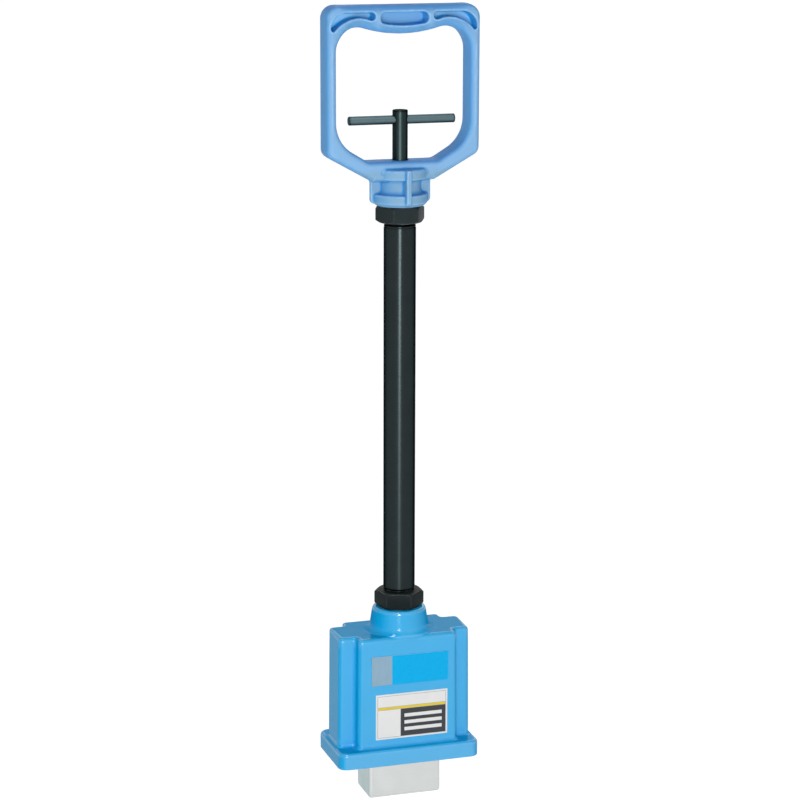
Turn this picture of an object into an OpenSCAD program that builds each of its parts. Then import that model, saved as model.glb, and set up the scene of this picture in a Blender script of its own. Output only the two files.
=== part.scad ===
// Hand-held lifting magnet: a magnet block slides in a stainless sheath and is pulled up by a T-bar.
// The origin is the centre of the sheath's bottom face. +Z is up, +X is along the grip, -Y is the front.

/* [Sheath] */
// Width of the sheath, left to right
sheath_w = 63.1; // [54:0.1:76]
// Depth of the sheath, front to back
sheath_d = 35.2; // [28:0.1:40]
// How far the sheath stands out below the housing
sheath_drop = 34; // [26:1:44]
// Sheet thickness of the sheath
sheath_wall = 1.5; // [1:0.1:2]
// Radius of the sheath's upright edges
sheath_corner_r = 2.5; // [2.5:0.5:5]
// Width of the turned-out rim that the housing clamps
sheath_rim = 8; // [5:0.5:9]
// Thickness of the seal above the rim
gasket_t = 1; // [0.5:0.1:2]

/* [Magnet block] */
// Gap between the magnet block and each side of the sheath
magnet_gap = 1; // [0.5:0.1:1.5]
// Gap between the lowered magnet block and the sheath's floor
floor_gap = 0.1; // [0.1:0.1:0.5]
// Height of the pole plates
pole_h = 54; // [40:1:66]
// Thickness of each pole plate
pole_t = 8; // [7:0.5:10]
// How far the magnets stop short of the pole plates' lower ends
magnet_recess = 1; // [0.5:0.1:2]
// Thickness of the carrier above the pole plates
carrier_t = 12; // [10:1:16]
// Thread diameter of the carrier screws
carrier_screw_d = 4; // [3:0.5:5]
// Length of the carrier screws' thread in the pole plates
carrier_screw_bite = 10; // [6:1:16]
// Distance of each carrier screw from the middle, front and back
carrier_screw_y = 8; // [5:0.5:9]

/* [Housing] */
// How far the flange reaches past the sheath, left and right
flange_reach_x = 29.95; // [27:0.05:38]
// How far the flange reaches past the sheath, front and back
flange_reach_y = 15.9; // [15:0.05:24]
// Thickness of the flange
flange_t = 14; // [11:0.1:18]
// Corner radius of the flange, seen from above
flange_corner_r = 8; // [4:0.5:12]
// How far the middle block reaches past the sheath, left and right
block_reach_x = 12.2; // [11:0.05:16]
// How far the middle block reaches past the sheath, front and back
block_reach_y = 8.9; // [8.5:0.05:14]
// How far each side lobe stands out past the middle block
lobe_out = 14.25; // [6:0.25:15]
// How far the lobes are set back from the middle block's front and back
lobe_inset = 10; // [6:0.5:14]
// Radius of the body's upright edges
body_corner_r = 4; // [2:0.5:6]
// Wall thickness of the casting
housing_wall = 8; // [6:0.5:9]
// Diameter of the boss at its top
boss_d = 44.9; // [40:0.1:52]
// Diameter of the boss above its fillet
boss_base_d = 49.2; // [46:0.1:56]
// Height of the boss
boss_h = 19.8; // [14:0.1:30]
// Radius of the fillet round the foot of the boss
boss_fillet_r = 4; // [1:0.5:6]
// Radius of the boss's top edge
boss_edge_r = 1.5; // [0.5:0.5:3]

/* [Bottom plate] */
// Thickness of the bottom plate
plate_t = 4; // [3.5:0.5:6]
// Width of the flange border around the plate
plate_border = 6; // [4:0.5:8]
// Corner radius of the plate
plate_corner_r = 4; // [2:0.5:8]
// Thread diameter of the plate screws
plate_screw_d = 5; // [4:0.5:6]
// Distance of each plate screw from the plate's edges
plate_screw_edge = 7.5; // [6.5:0.5:9]
// Length of the plate screws, head included
plate_screw_len = 11; // [8:0.5:12]

/* [Tube and lock nuts] */
// Outside diameter of the tube
tube_d = 26.5; // [24:0.5:32]
// Length of the tube between its shoulders
tube_len = 307; // [240:1:460]
// Bore of the tube
tube_bore = 18; // [16:0.5:19]
// Step from the tube down to its threaded ends
tube_step = 1.25; // [1:0.05:1.5]
// Chamfer at the tube's shoulders and ends
tube_chamfer = 1.2; // [0.4:0.1:1.2]
// Bare thread between a lock nut and the tube's shoulder
neck_gap = 1.8; // [0.5:0.1:4]
// Depth of the tube's thread in the handle
handle_thread = 22.4; // [16:0.1:24]
// Width of the lock nuts across flats
nut_af = 36; // [34:0.5:44]
// Thickness of the lock nuts
nut_t = 14; // [8:0.5:20]
// Turn of the lower lock nut from square
lower_nut_turn = -17.9; // [-30:0.1:30]
// Turn of the upper lock nut from square
upper_nut_turn = -2.1; // [-30:0.1:30]
// Length of each guide bush in the tube
bush_len = 30; // [20:1:40]
// Thickness of the guide bushes' flanges
bush_flange_t = 1.5; // [1:0.1:3]

/* [Handle] */
// Overall width of the handle
handle_w = 128.9; // [110:0.1:160]
// Thickness of the handle, front to back
handle_t = 26; // [18:0.5:30]
// Width of the handle's side bars
side_bar_w = 8.4; // [7:0.1:14]
// Thickness of the grip beside its belly
grip_h = 18.1; // [14:0.1:24]
// Depth of the grip's rounded belly
grip_belly = 5.5; // [2:0.1:8]
// Outer radius of the handle's top corners
top_outer_r = 11; // [6:0.5:16]
// Inner radius of the handle's top corners
top_inner_r = 19; // [10:0.5:24]
// Outer radius of the handle's lower corners
low_outer_r = 8; // [3:0.5:16]
// Inner radius of the handle's lower corners
low_inner_r = 28; // [10:0.5:34]
// Slope of the arms along the hand opening, degrees
arm_slope = 31; // [24:0.5:36]
// Slope of the arms' lower edge, degrees
arm_low_slope = 29; // [24:0.5:36]
// Width of the flat floor inside the handle
floor_w = 58.8; // [44:0.1:72]
// Height of the lower outer corners above the inside floor
low_corner_rise = 5.1; // [2:0.1:12]
// Height of the inside floor above the collar's foot
floor_rise = 36.8; // [33:0.1:46]
// Diameter of the collar's flanges
collar_d = 45; // [42:0.5:58]
// Diameter of the collar's waist
collar_waist_d = 33; // [30:0.5:40]
// Diameter of the collar's foot
collar_foot_d = 39.5; // [37:0.5:42]
// Height of the collar's lower flange
collar_low_h = 9.7; // [6:0.1:12]
// Height of the collar's waist
collar_waist_h = 12; // [8:0.5:13]
// Height of the collar's upper flange
collar_top_h = 8.7; // [6:0.1:11]
// Thickness of the collar's ribs
rib_t = 3.8; // [3:0.1:6]
// How far the ribs stand out past the collar's flanges
rib_out = 3.1; // [0.2:0.1:3.6]
// Depth of the pockets in the front of the grip
pocket_depth = 15; // [4:0.5:18]
// Middle pocket's share of the distance between the opening's top corners
mid_pocket_share = 0.54; // [0.4:0.01:0.56]
// Wall between the middle pocket and the pockets beside it
pocket_gap = 4.3; // [3:0.1:6]
// Border of the grip above its pockets
pocket_border = 5.8; // [4:0.1:6.5]
// Wall between the pockets and the hand opening
pocket_wall = 7.2; // [6:0.1:8]
// Wall between the outer pockets and the handle's sides
pocket_side_wall = 3.4; // [3:0.1:5]

/* [Pull rod and T-bar] */
// Diameter of the pull rod
rod_d = 12.5; // [10:0.5:14]
// Running clearance of the rod in its guide bushes, on the radius
rod_fit = 0.04; // [0.02:0.01:0.08]
// Clearance of the rod in the handle, on the radius
rod_free = 0.6; // [0.4:0.1:1]
// Height of the T-bar's axis above the handle's inside floor
t_bar_rise = 32.2; // [24:0.1:40]
// Diameter of the T-bar
t_bar_d = 7.2; // [5:0.1:8]
// Mean gap between the T-bar's ends and the handle's side bars
t_bar_gap = 11.5; // [6:0.25:24]
// Offset of the T-bar to the right of the rod
t_bar_shift = 1.25; // [-3:0.25:3]
// Length of rod above the T-bar's axis
rod_nose = 8; // [7:0.5:12]
// Travel of the pull rod
stroke = 55; // [40:1:70]
// Gap between the raised rod and the grip
grip_clear = 5.8; // [3:0.1:12]
// Gap between the raised magnet block and the housing's roof
roof_clear = 2.8; // [0.5:0.1:4]
// Step from the rod down to its thread, on the radius
rod_step = 1; // [0.5:0.1:1.5]
// Width across flats of the jam nut on the rod
jam_af = 17; // [16.5:0.5:20]
// Thickness of the jam nut
jam_t = 8; // [5:0.5:12]
// Thickness of the lock washer
lock_washer_t = 2.5; // [1.5:0.1:3]
// Diameter of the set screw above the T-bar
set_screw_d = 6; // [4:0.5:7]

/* [Return spring] */
// Wire diameter of the return spring
spring_wire = 1.4; // [1:0.1:1.5]
// Length of the spring when the magnet block is down
spring_len = 115; // [95:1:150]
// Number of turns
spring_turns = 24; // [12:1:26]
// Thickness of the spring's seat
seat_t = 2; // [1:0.1:4]
// Thickness of the retaining ring
ring_t = 1.2; // [0.8:0.1:2]
// Depth of the retaining ring's groove
ring_groove = 1; // [0.5:0.1:1.5]

/* [Front plates] */
// Width of the name plate
name_plate_w = 67; // [40:1:76]
// Height of the name plate
name_plate_h = 25.3; // [10:0.1:28]
// Thickness of the name plate
name_plate_t = 0.6; // [0.4:0.1:2]
// Width of the front label
label_w = 63; // [40:1:76]
// Height of the front label
label_h = 39.4; // [20:0.1:42]
// Thickness of the front label
label_t = 0.3; // [0.2:0.1:1]
// Distance from the flange's top to the front label
label_rise = 7.3; // [6:0.1:12]
// Gap between the front label and the name plate
plate_gap = 8.3; // [2:0.1:12]
// Offset of the name plate to the right of the middle
name_plate_x = 1.3; // [-4:0.1:4]
// Offset of the front label to the right of the middle
label_x = 3; // [-4:0.1:4]

/* [Hidden] */
$fn = 96;

// Clearances: threads and bushes, pieces laid in a recess, and pieces that pass freely
fit = 0.05;
lay = 0.2;
loose = 0.4;
// How far a cutting shape runs past the face it cuts
cut = 1;
// Slope of the chamfers on hexagon nuts
nut_chamfer_slope = 36;

// Colours
stainless = [0.84, 0.85, 0.84];
housing_blue = [0.25, 0.62, 0.88];
handle_blue = [0.38, 0.62, 0.9];
black_steel = [0.12, 0.14, 0.15];
zinc = [0.7, 0.71, 0.72];
brass = [0.78, 0.66, 0.36];
rubber = [0.1, 0.1, 0.1];
magnet_grey = [0.45, 0.46, 0.48];
plate_cyan = [0.35, 0.72, 0.92];
label_white = [0.93, 0.93, 0.9];

// Plan sizes of the sheath's inside, the magnet block and the housing
inner_w = sheath_w - 2 * sheath_wall;
inner_d = sheath_d - 2 * sheath_wall;
inner_corner_r = sheath_corner_r - sheath_wall;
block_w = inner_w - 2 * magnet_gap;
block_d = inner_d - 2 * magnet_gap;
rim_w = sheath_w + 2 * sheath_rim;
rim_d = sheath_d + 2 * sheath_rim;
flange_w = sheath_w + 2 * flange_reach_x;
flange_d = sheath_d + 2 * flange_reach_y;
body_w = sheath_w + 2 * block_reach_x;
body_d = sheath_d + 2 * block_reach_y;
lobes_w = body_w + 2 * lobe_out;
lobes_d = body_d - 2 * lobe_inset;
plate_w = flange_w - 2 * plate_border;
plate_d = flange_d - 2 * plate_border;
plate_head_d = 2 * plate_screw_d;
plate_head_h = (plate_head_d - plate_screw_d) / 2;
screw_x = plate_w / 2 - plate_screw_edge;
screw_y = plate_d / 2 - plate_screw_edge;
pole_x = block_w / 2 - pole_t / 2;
magnet_t = (block_w - 3 * pole_t) / 2;
magnet_x = (pole_t + magnet_t) / 2;
screw_head_d = carrier_screw_d * 1.75;
screw_head_h = carrier_screw_d;

// Heights, from the sheath's floor up
z_pole = sheath_wall + floor_gap;
z_carrier = z_pole + pole_h;
z_lock_washer = z_carrier + carrier_t;
z_jam_nut = z_lock_washer + lock_washer_t;
z_block_top = z_jam_nut + jam_t;
z_flange = sheath_drop;
z_plate_top = z_flange + plate_t;
z_gasket = z_plate_top + sheath_wall;
z_ledge = z_gasket + gasket_t;
z_flange_top = z_flange + flange_t;
z_roof_in = z_block_top + stroke + roof_clear;
z_roof = z_roof_in + housing_wall;
z_boss = z_roof + boss_h;
z_tube_end = z_roof_in + bush_flange_t;
z_low_shoulder = z_boss + nut_t + neck_gap;
z_top_shoulder = z_low_shoulder + tube_len;
z_upper_nut = z_top_shoulder + neck_gap;
z_handle = z_upper_nut + nut_t;
z_tube_top = z_handle + handle_thread;
z_floor = z_handle + floor_rise;
z_t_bar = z_floor + t_bar_rise;
z_rod_top = z_t_bar + rod_nose;
z_belly = z_rod_top + stroke + grip_clear;
z_crest = z_belly + grip_belly;
z_top = z_crest + grip_h;
z_spring_top = z_tube_top - bush_len;
z_seat = z_spring_top - spring_len;

// Round sizes that fit each other
thread_d = tube_d - 2 * tube_step;
rod_thread_d = rod_d - 2 * rod_step;
bush_flange_d = thread_d - 2 * loose;
seat_d = tube_bore - 2 * loose;
ring_d = seat_d - 2 * loose;
groove_d = rod_d - 2 * ring_groove;
spring_r = (tube_bore + rod_d) / 4;
rod_end_gap = 1;
jam_relief = 1.5;
z_rod_end = z_carrier + rod_end_gap;
z_thread_top = z_block_top + jam_relief;

// Sizes of the handle's outline
half_w = handle_w / 2;
open_half_w = half_w - side_bar_w;
t_bar_len = 2 * (open_half_w - t_bar_gap);
z_low_corner = z_floor + low_corner_rise;
z_upper_flange = z_handle + collar_low_h + collar_waist_h;
z_collar_top = z_upper_flange + collar_top_h;
arm_foot_x = half_w - (z_low_corner - z_upper_flange) / tan(arm_low_slope);
open_corner_z = z_floor + (open_half_w - floor_w / 2) * tan(arm_slope);
// Centre of the opening's top corner, and the arc of the belly that touches it
crest = [open_half_w - top_inner_r, z_crest - top_inner_r];
belly_r = (pow(crest.x, 2) + pow(top_inner_r - grip_belly, 2) - pow(top_inner_r, 2)) / (2 * grip_belly);
belly = [0, z_belly + belly_r];
belly_turn = atan2(crest.x, belly.y - crest.y);
// Upper edge of the grip's pockets, and half the length of the middle one
z_pocket = z_top - pocket_border;
mid_pocket_half = mid_pocket_share * crest.x;

// Points of an arc about c, from angle a to angle b, in n steps
function arc(c, r, a, b, n = 10) =
    [for (i = [0:n]) let (t = a + (b - a) * i / n) c + r * [cos(t), sin(t)]];
function unit(v) = v / norm(v);
// Angle b brought within half a turn of angle a
function near_angle(a, b) = b - 360 * round((b - a) / 360);
// Points that round the corner b between a and c with radius r
function corner(a, b, c, r) =
    let (
        u = unit(a - b),
        w = unit(c - b),
        half = acos(u * w) / 2,
        m = b + unit(u + w) * r / sin(half),
        s = b + u * r / tan(half) - m,
        e = b + w * r / tan(half) - m,
        from = atan2(s.y, s.x)
    )
    arc(m, r, from, near_angle(from, atan2(e.y, e.x)));
// A closed outline whose corners are given as [x, y, radius]
function rounded_outline(p) =
    let (n = len(p))
    [for (i = [0:n - 1])
        each corner([p[(i + n - 1) % n].x, p[(i + n - 1) % n].y], [p[i].x, p[i].y],
            [p[(i + 1) % n].x, p[(i + 1) % n].y], p[i].z)];
function mirrored(p) = [for (i = [len(p) - 1:-1:0]) [-p[i].x, p[i].y]];

module rounded_rect(w, d, r) {
    square([w - 2 * r, d], center = true);
    square([w, d - 2 * r], center = true);
    for (x = [-1, 1], y = [-1, 1])
        translate([x * (w / 2 - r), y * (d / 2 - r)]) circle(r);
}

module slab(w, d, r, z, h) {
    translate([0, 0, z]) linear_extrude(h) rounded_rect(w, d, r);
}

module ring(d_out, d_in, z, h) {
    translate([0, 0, z]) difference() {
        cylinder(d = d_out, h = h);
        translate([0, 0, -cut]) cylinder(d = d_in, h = h + 2 * cut);
    }
}

// A hexagon nut with both faces chamfered
module hex_nut(af, bore, h) {
    corner_r = af / 2 / cos(30);
    face_r = 0.97 * af / 2;
    drop = (corner_r - face_r) * tan(nut_chamfer_slope);
    difference() {
        intersection() {
            cylinder(r = corner_r, h = h, $fn = 6);
            rotate_extrude()
                polygon([[0, 0], [face_r, 0], [corner_r, drop], [corner_r, h - drop], [face_r, h], [0, h]]);
        }
        translate([0, 0, -cut]) cylinder(d = bore, h = h + 2 * cut);
    }
}

// An outline in the XZ plane, extruded front to back about the middle
module upright(depth) {
    rotate([90, 0, 0]) linear_extrude(depth, center = true) children();
}

module sheath() {
    color(stainless) difference() {
        union() {
            slab(sheath_w, sheath_d, sheath_corner_r, 0, z_gasket);
            slab(rim_w, rim_d, sheath_corner_r, z_plate_top, sheath_wall);
        }
        slab(inner_w, inner_d, inner_corner_r, sheath_wall, z_gasket);
    }
}

module sheath_gasket() {
    color(rubber) difference() {
        slab(rim_w, rim_d, sheath_corner_r, z_gasket, gasket_t);
        slab(inner_w, inner_d, inner_corner_r, z_gasket - cut, gasket_t + 2 * cut);
    }
}

module boss_profile() {
    foot_r = boss_base_d / 2;
    top_r = boss_d / 2;
    foot = arc([foot_r + boss_fillet_r, boss_fillet_r], boss_fillet_r, 270, 180, 6);
    edge = arc([top_r - boss_edge_r, boss_h - boss_edge_r], boss_edge_r, 0, 90, 5);
    polygon(concat([[0, -cut], [foot_r + boss_fillet_r, -cut]], foot, edge, [[0, boss_h]]));
}

module housing_cavity() {
    inside_r = body_corner_r / 2;
    height = z_roof_in - z_flange;
    slab(plate_w + 2 * lay, plate_d + 2 * lay, plate_corner_r, z_flange - cut, plate_t + cut);
    slab(rim_w + 2 * lay, rim_d + 2 * lay, sheath_corner_r, z_flange, z_ledge - z_flange);
    slab(body_w - 2 * housing_wall, body_d - 2 * housing_wall, inside_r, z_flange, height);
    slab(lobes_w - 2 * housing_wall, lobes_d - 2 * housing_wall, inside_r, z_flange, height);
}

module plate_screw_places() {
    for (x = [-1, 1], y = [-1, 1])
        translate([x * screw_x, y * screw_y, z_flange]) children();
}

module housing() {
    color(housing_blue) difference() {
        union() {
            slab(flange_w, flange_d, flange_corner_r, z_flange, flange_t);
            slab(body_w, body_d, body_corner_r, z_flange, z_roof - z_flange);
            slab(lobes_w, lobes_d, body_corner_r, z_flange, z_roof - z_flange);
            translate([0, 0, z_roof]) rotate_extrude() boss_profile();
        }
        housing_cavity();
        translate([0, 0, z_roof_in - cut]) cylinder(d = thread_d + 2 * fit, h = z_boss - z_roof_in + 2 * cut);
        plate_screw_places() cylinder(d = plate_screw_d + 2 * fit, h = plate_screw_len + cut);
    }
}

module bottom_plate() {
    hole_d = plate_screw_d + 2 * fit;
    color(zinc) difference() {
        slab(plate_w, plate_d, plate_corner_r, z_flange, plate_t);
        slab(sheath_w + 2 * lay, sheath_d + 2 * lay, sheath_corner_r, z_flange - cut, plate_t + 2 * cut);
        plate_screw_places() {
            translate([0, 0, -cut]) cylinder(d = hole_d, h = plate_t + 2 * cut);
            cylinder(d1 = plate_head_d + 2 * fit, d2 = hole_d, h = plate_head_h + fit);
        }
    }
}

module bottom_plate_screws() {
    socket_d = plate_screw_d * 0.7;
    color(zinc) plate_screw_places() difference() {
        union() {
            cylinder(d1 = plate_head_d, d2 = plate_screw_d, h = plate_head_h);
            cylinder(d = plate_screw_d, h = plate_screw_len);
        }
        translate([0, 0, -cut]) cylinder(d = socket_d, h = plate_head_h + cut, $fn = 6);
    }
}

module outer_tube() {
    r = tube_d / 2;
    thread_r = thread_d / 2;
    bore_r = tube_bore / 2;
    end_chamfer = tube_chamfer / 2;
    color(black_steel) rotate_extrude() polygon([
        [bore_r, z_tube_end], [thread_r - end_chamfer, z_tube_end], [thread_r, z_tube_end + end_chamfer],
        [thread_r, z_low_shoulder], [r - tube_chamfer, z_low_shoulder], [r, z_low_shoulder + tube_chamfer],
        [r, z_top_shoulder - tube_chamfer], [r - tube_chamfer, z_top_shoulder], [thread_r, z_top_shoulder],
        [thread_r, z_tube_top - end_chamfer], [thread_r - end_chamfer, z_tube_top], [bore_r, z_tube_top]
    ]);
}

module lock_nut(z, turn) {
    color(black_steel) translate([0, 0, z]) rotate(turn) hex_nut(nut_af, thread_d + 2 * fit, nut_t);
}

module lower_lock_nut() {
    lock_nut(z_boss, lower_nut_turn);
}

module upper_lock_nut() {
    lock_nut(z_upper_nut, upper_nut_turn);
}

module guide_bush(z_flange_side, z_body) {
    color(brass) difference() {
        union() {
            translate([0, 0, z_body]) cylinder(d = tube_bore - 2 * fit, h = bush_len);
            translate([0, 0, z_flange_side]) cylinder(d = bush_flange_d, h = bush_flange_t);
        }
        translate([0, 0, min(z_flange_side, z_body) - cut])
            cylinder(d = rod_d + 2 * rod_fit, h = bush_len + bush_flange_t + 2 * cut);
    }
}

module upper_guide_bush() {
    guide_bush(z_tube_top, z_tube_top - bush_len);
}

module lower_guide_bush() {
    guide_bush(z_roof_in, z_tube_end);
}

// The handle's outer outline, from the right arm's foot round to the left one
module handle_outline() {
    polygon(rounded_outline([
        [arm_foot_x, z_upper_flange, 1], [half_w, z_low_corner, low_outer_r], [half_w, z_top, top_outer_r],
        [-half_w, z_top, top_outer_r], [-half_w, z_low_corner, low_outer_r], [-arm_foot_x, z_upper_flange, 1]
    ]));
}

// The hand opening: a flat floor, sloping arms, upright sides and a belly under the grip
module handle_opening() {
    floor_edge = [floor_w / 2, z_floor];
    side_foot = [open_half_w, open_corner_z];
    floor_r = top_inner_r / 2;
    arm_left = norm(side_foot - floor_edge) - floor_r * tan(arm_slope / 2);
    side_r = min(low_inner_r, arm_left * tan(45 + arm_slope / 2));
    belly_steps = 8;
    right = concat(
        corner([0, z_floor], floor_edge, side_foot, floor_r),
        corner(floor_edge, side_foot, [open_half_w, z_top], side_r),
        arc(crest, top_inner_r, 0, 90 + belly_turn),
        [for (i = [1:belly_steps])
            let (t = belly_turn * (1 - i / belly_steps)) belly + belly_r * [sin(t), -cos(t)]]
    );
    polygon(concat(right, mirrored([for (i = [0:len(right) - 2]) right[i]])));
}

// The middle pocket of the grip, its lower edge following the belly
module mid_pocket() {
    end_r = 4;
    low_r = belly_r - pocket_wall;
    end_x = mid_pocket_half - end_r;
    lean = asin(end_x / (low_r - end_r));
    z_low = belly.y - (low_r - end_r) * cos(lean);
    polygon(concat(
        arc([end_x, z_pocket - end_r], end_r, 0, 90, 6),
        arc([-end_x, z_pocket - end_r], end_r, 90, 180, 6),
        arc([-end_x, z_low], end_r, 180, 270 - lean, 6),
        [for (i = [1:7]) belly + low_r * [sin(lean * (i / 4 - 1)), -cos(lean * (i / 4 - 1))]],
        arc([end_x, z_low], end_r, 270 + lean, 360, 6)
    ));
}

// The outer pockets of the grip: a round end beside the middle pocket and a tip in the handle's corner
module side_pocket() {
    end_r = 3.2;
    tip_r = 1.85;
    end_at = [mid_pocket_half + pocket_gap + end_r, z_pocket - end_r];
    end_lean = atan2(end_at.x, belly.y - end_at.y);
    low_r = norm(belly - end_at) + end_r;
    wall_r = top_inner_r + pocket_wall + 0.8;
    apart = belly_r + top_inner_r;
    meet = belly_turn + acos((pow(low_r, 2) + pow(apart, 2) - pow(wall_r, 2)) / (2 * low_r * apart));
    meet_at = belly + low_r * [sin(meet), -cos(meet)] - crest;
    tip_x = half_w - pocket_side_wall - tip_r;
    tip_turn = acos((tip_x - crest.x) / (wall_r + tip_r));
    tip = crest + (wall_r + tip_r) * [cos(tip_turn), sin(tip_turn)];
    out_r = z_pocket - tip.y;
    low_steps = 5;
    polygon(concat(
        arc(end_at, end_r, 90, 270 + end_lean, 8),
        [for (i = [1:low_steps - 1])
            let (t = end_lean + (meet - end_lean) * i / low_steps) belly + low_r * [sin(t), -cos(t)]],
        arc(crest, wall_r, atan2(meet_at.y, meet_at.x), tip_turn, 10),
        arc(tip, tip_r, 180 + tip_turn, 360, 8),
        arc([tip.x + tip_r - out_r, tip.y], out_r, 0, 90)
    ));
}

module collar_profile() {
    foot_rise = (collar_d - collar_foot_d) / 2;
    polygon([
        [0, z_handle], [collar_foot_d / 2, z_handle], [collar_d / 2, z_handle + foot_rise],
        [collar_d / 2, z_handle + collar_low_h], [collar_waist_d / 2, z_handle + collar_low_h],
        [collar_waist_d / 2, z_upper_flange], [collar_d / 2, z_upper_flange],
        [collar_d / 2, z_collar_top], [0, z_collar_top]
    ]);
}

module collar_ribs() {
    reach = collar_d / 2 + rib_out;
    foot_rise = (collar_d - collar_foot_d) / 2;
    height = z_collar_top - z_handle - foot_rise;
    translate([0, 0, z_handle + foot_rise + height / 2]) {
        cube([2 * reach, rib_t, height], center = true);
        cube([rib_t, 2 * reach, height], center = true);
    }
}

module handle() {
    pocket_y = (pocket_depth - cut - handle_t) / 2;
    color(handle_blue) difference() {
        union() {
            difference() {
                upright(handle_t) handle_outline();
                upright(handle_t + 2 * cut) handle_opening();
                translate([0, pocket_y, 0]) {
                    upright(pocket_depth + cut) mid_pocket();
                    upright(pocket_depth + cut) side_pocket();
                    mirror([1, 0, 0]) upright(pocket_depth + cut) side_pocket();
                }
            }
            rotate_extrude() collar_profile();
            collar_ribs();
        }
        translate([0, 0, z_handle - cut])
            cylinder(d = thread_d + 2 * fit, h = handle_thread + bush_flange_t + fit + cut);
        translate([0, 0, z_handle]) cylinder(d = rod_d + 2 * rod_free, h = floor_rise + cut);
    }
}

// The spring's centre line: height against turns, with closer turns at both ends
end_gap = 0.6;
end_pitch = spring_wire + end_gap;
z_wire_low = z_seat + spring_wire / 2;
main_pitch = (spring_len - spring_wire - 2 * end_pitch) / (spring_turns - 2);
function spring_z(n) =
    n < 1 ? z_wire_low + end_pitch * n
    : n < spring_turns - 1 ? z_wire_low + end_pitch + main_pitch * (n - 1)
    : z_wire_low + end_pitch + main_pitch * (spring_turns - 2) + end_pitch * (n - spring_turns + 1);
spring_steps = 8;
spring_sides = 6;
spring_rings = spring_turns * spring_steps + 1;
spring_line = [for (i = [0:spring_rings - 1])
    let (a = 360 * i / spring_steps)
    [spring_r * cos(a), spring_r * sin(a), spring_z(i / spring_steps)]];
// Least gap from one turn of the wire to the next, measured on the centre line's points
spring_gap = min([for (i = [0:spring_rings - 1 - spring_steps])
    norm(spring_line[i + spring_steps] - spring_line[i])]) - spring_wire;
echo(spring_gap = spring_gap);

module return_spring() {
    points = [for (i = [0:spring_rings - 1])
        let (
            a = 360 * i / spring_steps,
            out = [cos(a), sin(a), 0],
            last = spring_line[max(i - 1, 0)],
            next = spring_line[min(i + 1, spring_rings - 1)],
            up = unit(cross(out, unit(next - last)))
        )
        for (k = [0:spring_sides - 1])
            let (s = 360 * k / spring_sides)
            spring_line[i] + spring_wire / 2 * (cos(s) * out + sin(s) * up)];
    end_base = (spring_rings - 1) * spring_sides;
    walls = [for (i = [0:spring_rings - 2], k = [0:spring_sides - 1])
        let (
            a = i * spring_sides + k,
            b = i * spring_sides + (k + 1) % spring_sides
        )
        each [[a, b, a + spring_sides], [b, b + spring_sides, a + spring_sides]]];
    caps = [for (k = [1:spring_sides - 2])
        each [[0, k + 1, k], [end_base, end_base + k, end_base + k + 1]]];
    color(zinc) polyhedron(points, concat(walls, caps));
}

module spring_seat() {
    color(zinc) ring(seat_d, rod_d + 2 * fit, z_seat - seat_t, seat_t);
}

module retaining_ring() {
    mouth = groove_d * 0.7;
    color(black_steel) difference() {
        ring(ring_d, groove_d + 2 * fit, z_seat - seat_t - ring_t, ring_t);
        translate([-mouth / 2, -ring_d, z_seat - seat_t - ring_t - cut])
            cube([mouth, ring_d, ring_t + 2 * cut]);
    }
}

module pull_rod() {
    nose_chamfer = 1;
    rod_r = rod_d / 2;
    thread_r = rod_thread_d / 2;
    groove_r = groove_d / 2;
    groove_top = z_seat - seat_t;
    groove_low = groove_top - ring_t;
    color(black_steel) difference() {
        rotate_extrude() polygon([
            [0, z_rod_end], [thread_r - nose_chamfer, z_rod_end], [thread_r, z_rod_end + nose_chamfer],
            [thread_r, z_thread_top], [rod_r, z_thread_top],
            [rod_r, groove_low - fit], [groove_r, groove_low - fit],
            [groove_r, groove_top + fit], [rod_r, groove_top + fit],
            [rod_r, z_rod_top - nose_chamfer], [rod_r - nose_chamfer, z_rod_top], [0, z_rod_top]
        ]);
        translate([0, 0, z_t_bar]) rotate([0, 90, 0])
            cylinder(d = t_bar_d + 2 * fit, h = rod_d + cut, center = true);
        translate([0, 0, z_t_bar]) cylinder(d = set_screw_d + 2 * fit, h = rod_nose + cut);
    }
}

module t_bar() {
    end_chamfer = 0.8;
    r = t_bar_d / 2;
    half = t_bar_len / 2;
    color(black_steel) translate([t_bar_shift, 0, z_t_bar]) rotate([0, 90, 0]) rotate_extrude() polygon([
        [0, -half], [r - end_chamfer, -half], [r, end_chamfer - half],
        [r, half - end_chamfer], [r - end_chamfer, half], [0, half]
    ]);
}

module t_bar_set_screw() {
    z_low = z_t_bar + t_bar_d / 2 + fit;
    sink = 0.5;
    socket_d = set_screw_d * 0.55;
    socket_depth = 2;
    height = z_rod_top - sink - z_low;
    color(black_steel) translate([0, 0, z_low]) difference() {
        cylinder(d = set_screw_d, h = height);
        translate([0, 0, height - socket_depth]) cylinder(d = socket_d, h = socket_depth + cut, $fn = 6);
    }
}

module rod_jam_nut() {
    color(zinc) translate([0, 0, z_jam_nut]) hex_nut(jam_af, rod_thread_d + 2 * fit, jam_t);
}

module lock_washer() {
    split = 1.5;
    color(zinc) difference() {
        ring(jam_af, rod_thread_d + 2 * lay, z_lock_washer, lock_washer_t);
        translate([-split / 2, 0, z_lock_washer - cut]) cube([split, jam_af, lock_washer_t + 2 * cut]);
    }
}

module carrier_screw_places(z) {
    for (x = [-1, 1], y = [-1, 1])
        translate([x * pole_x, y * carrier_screw_y, z]) children();
}

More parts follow.
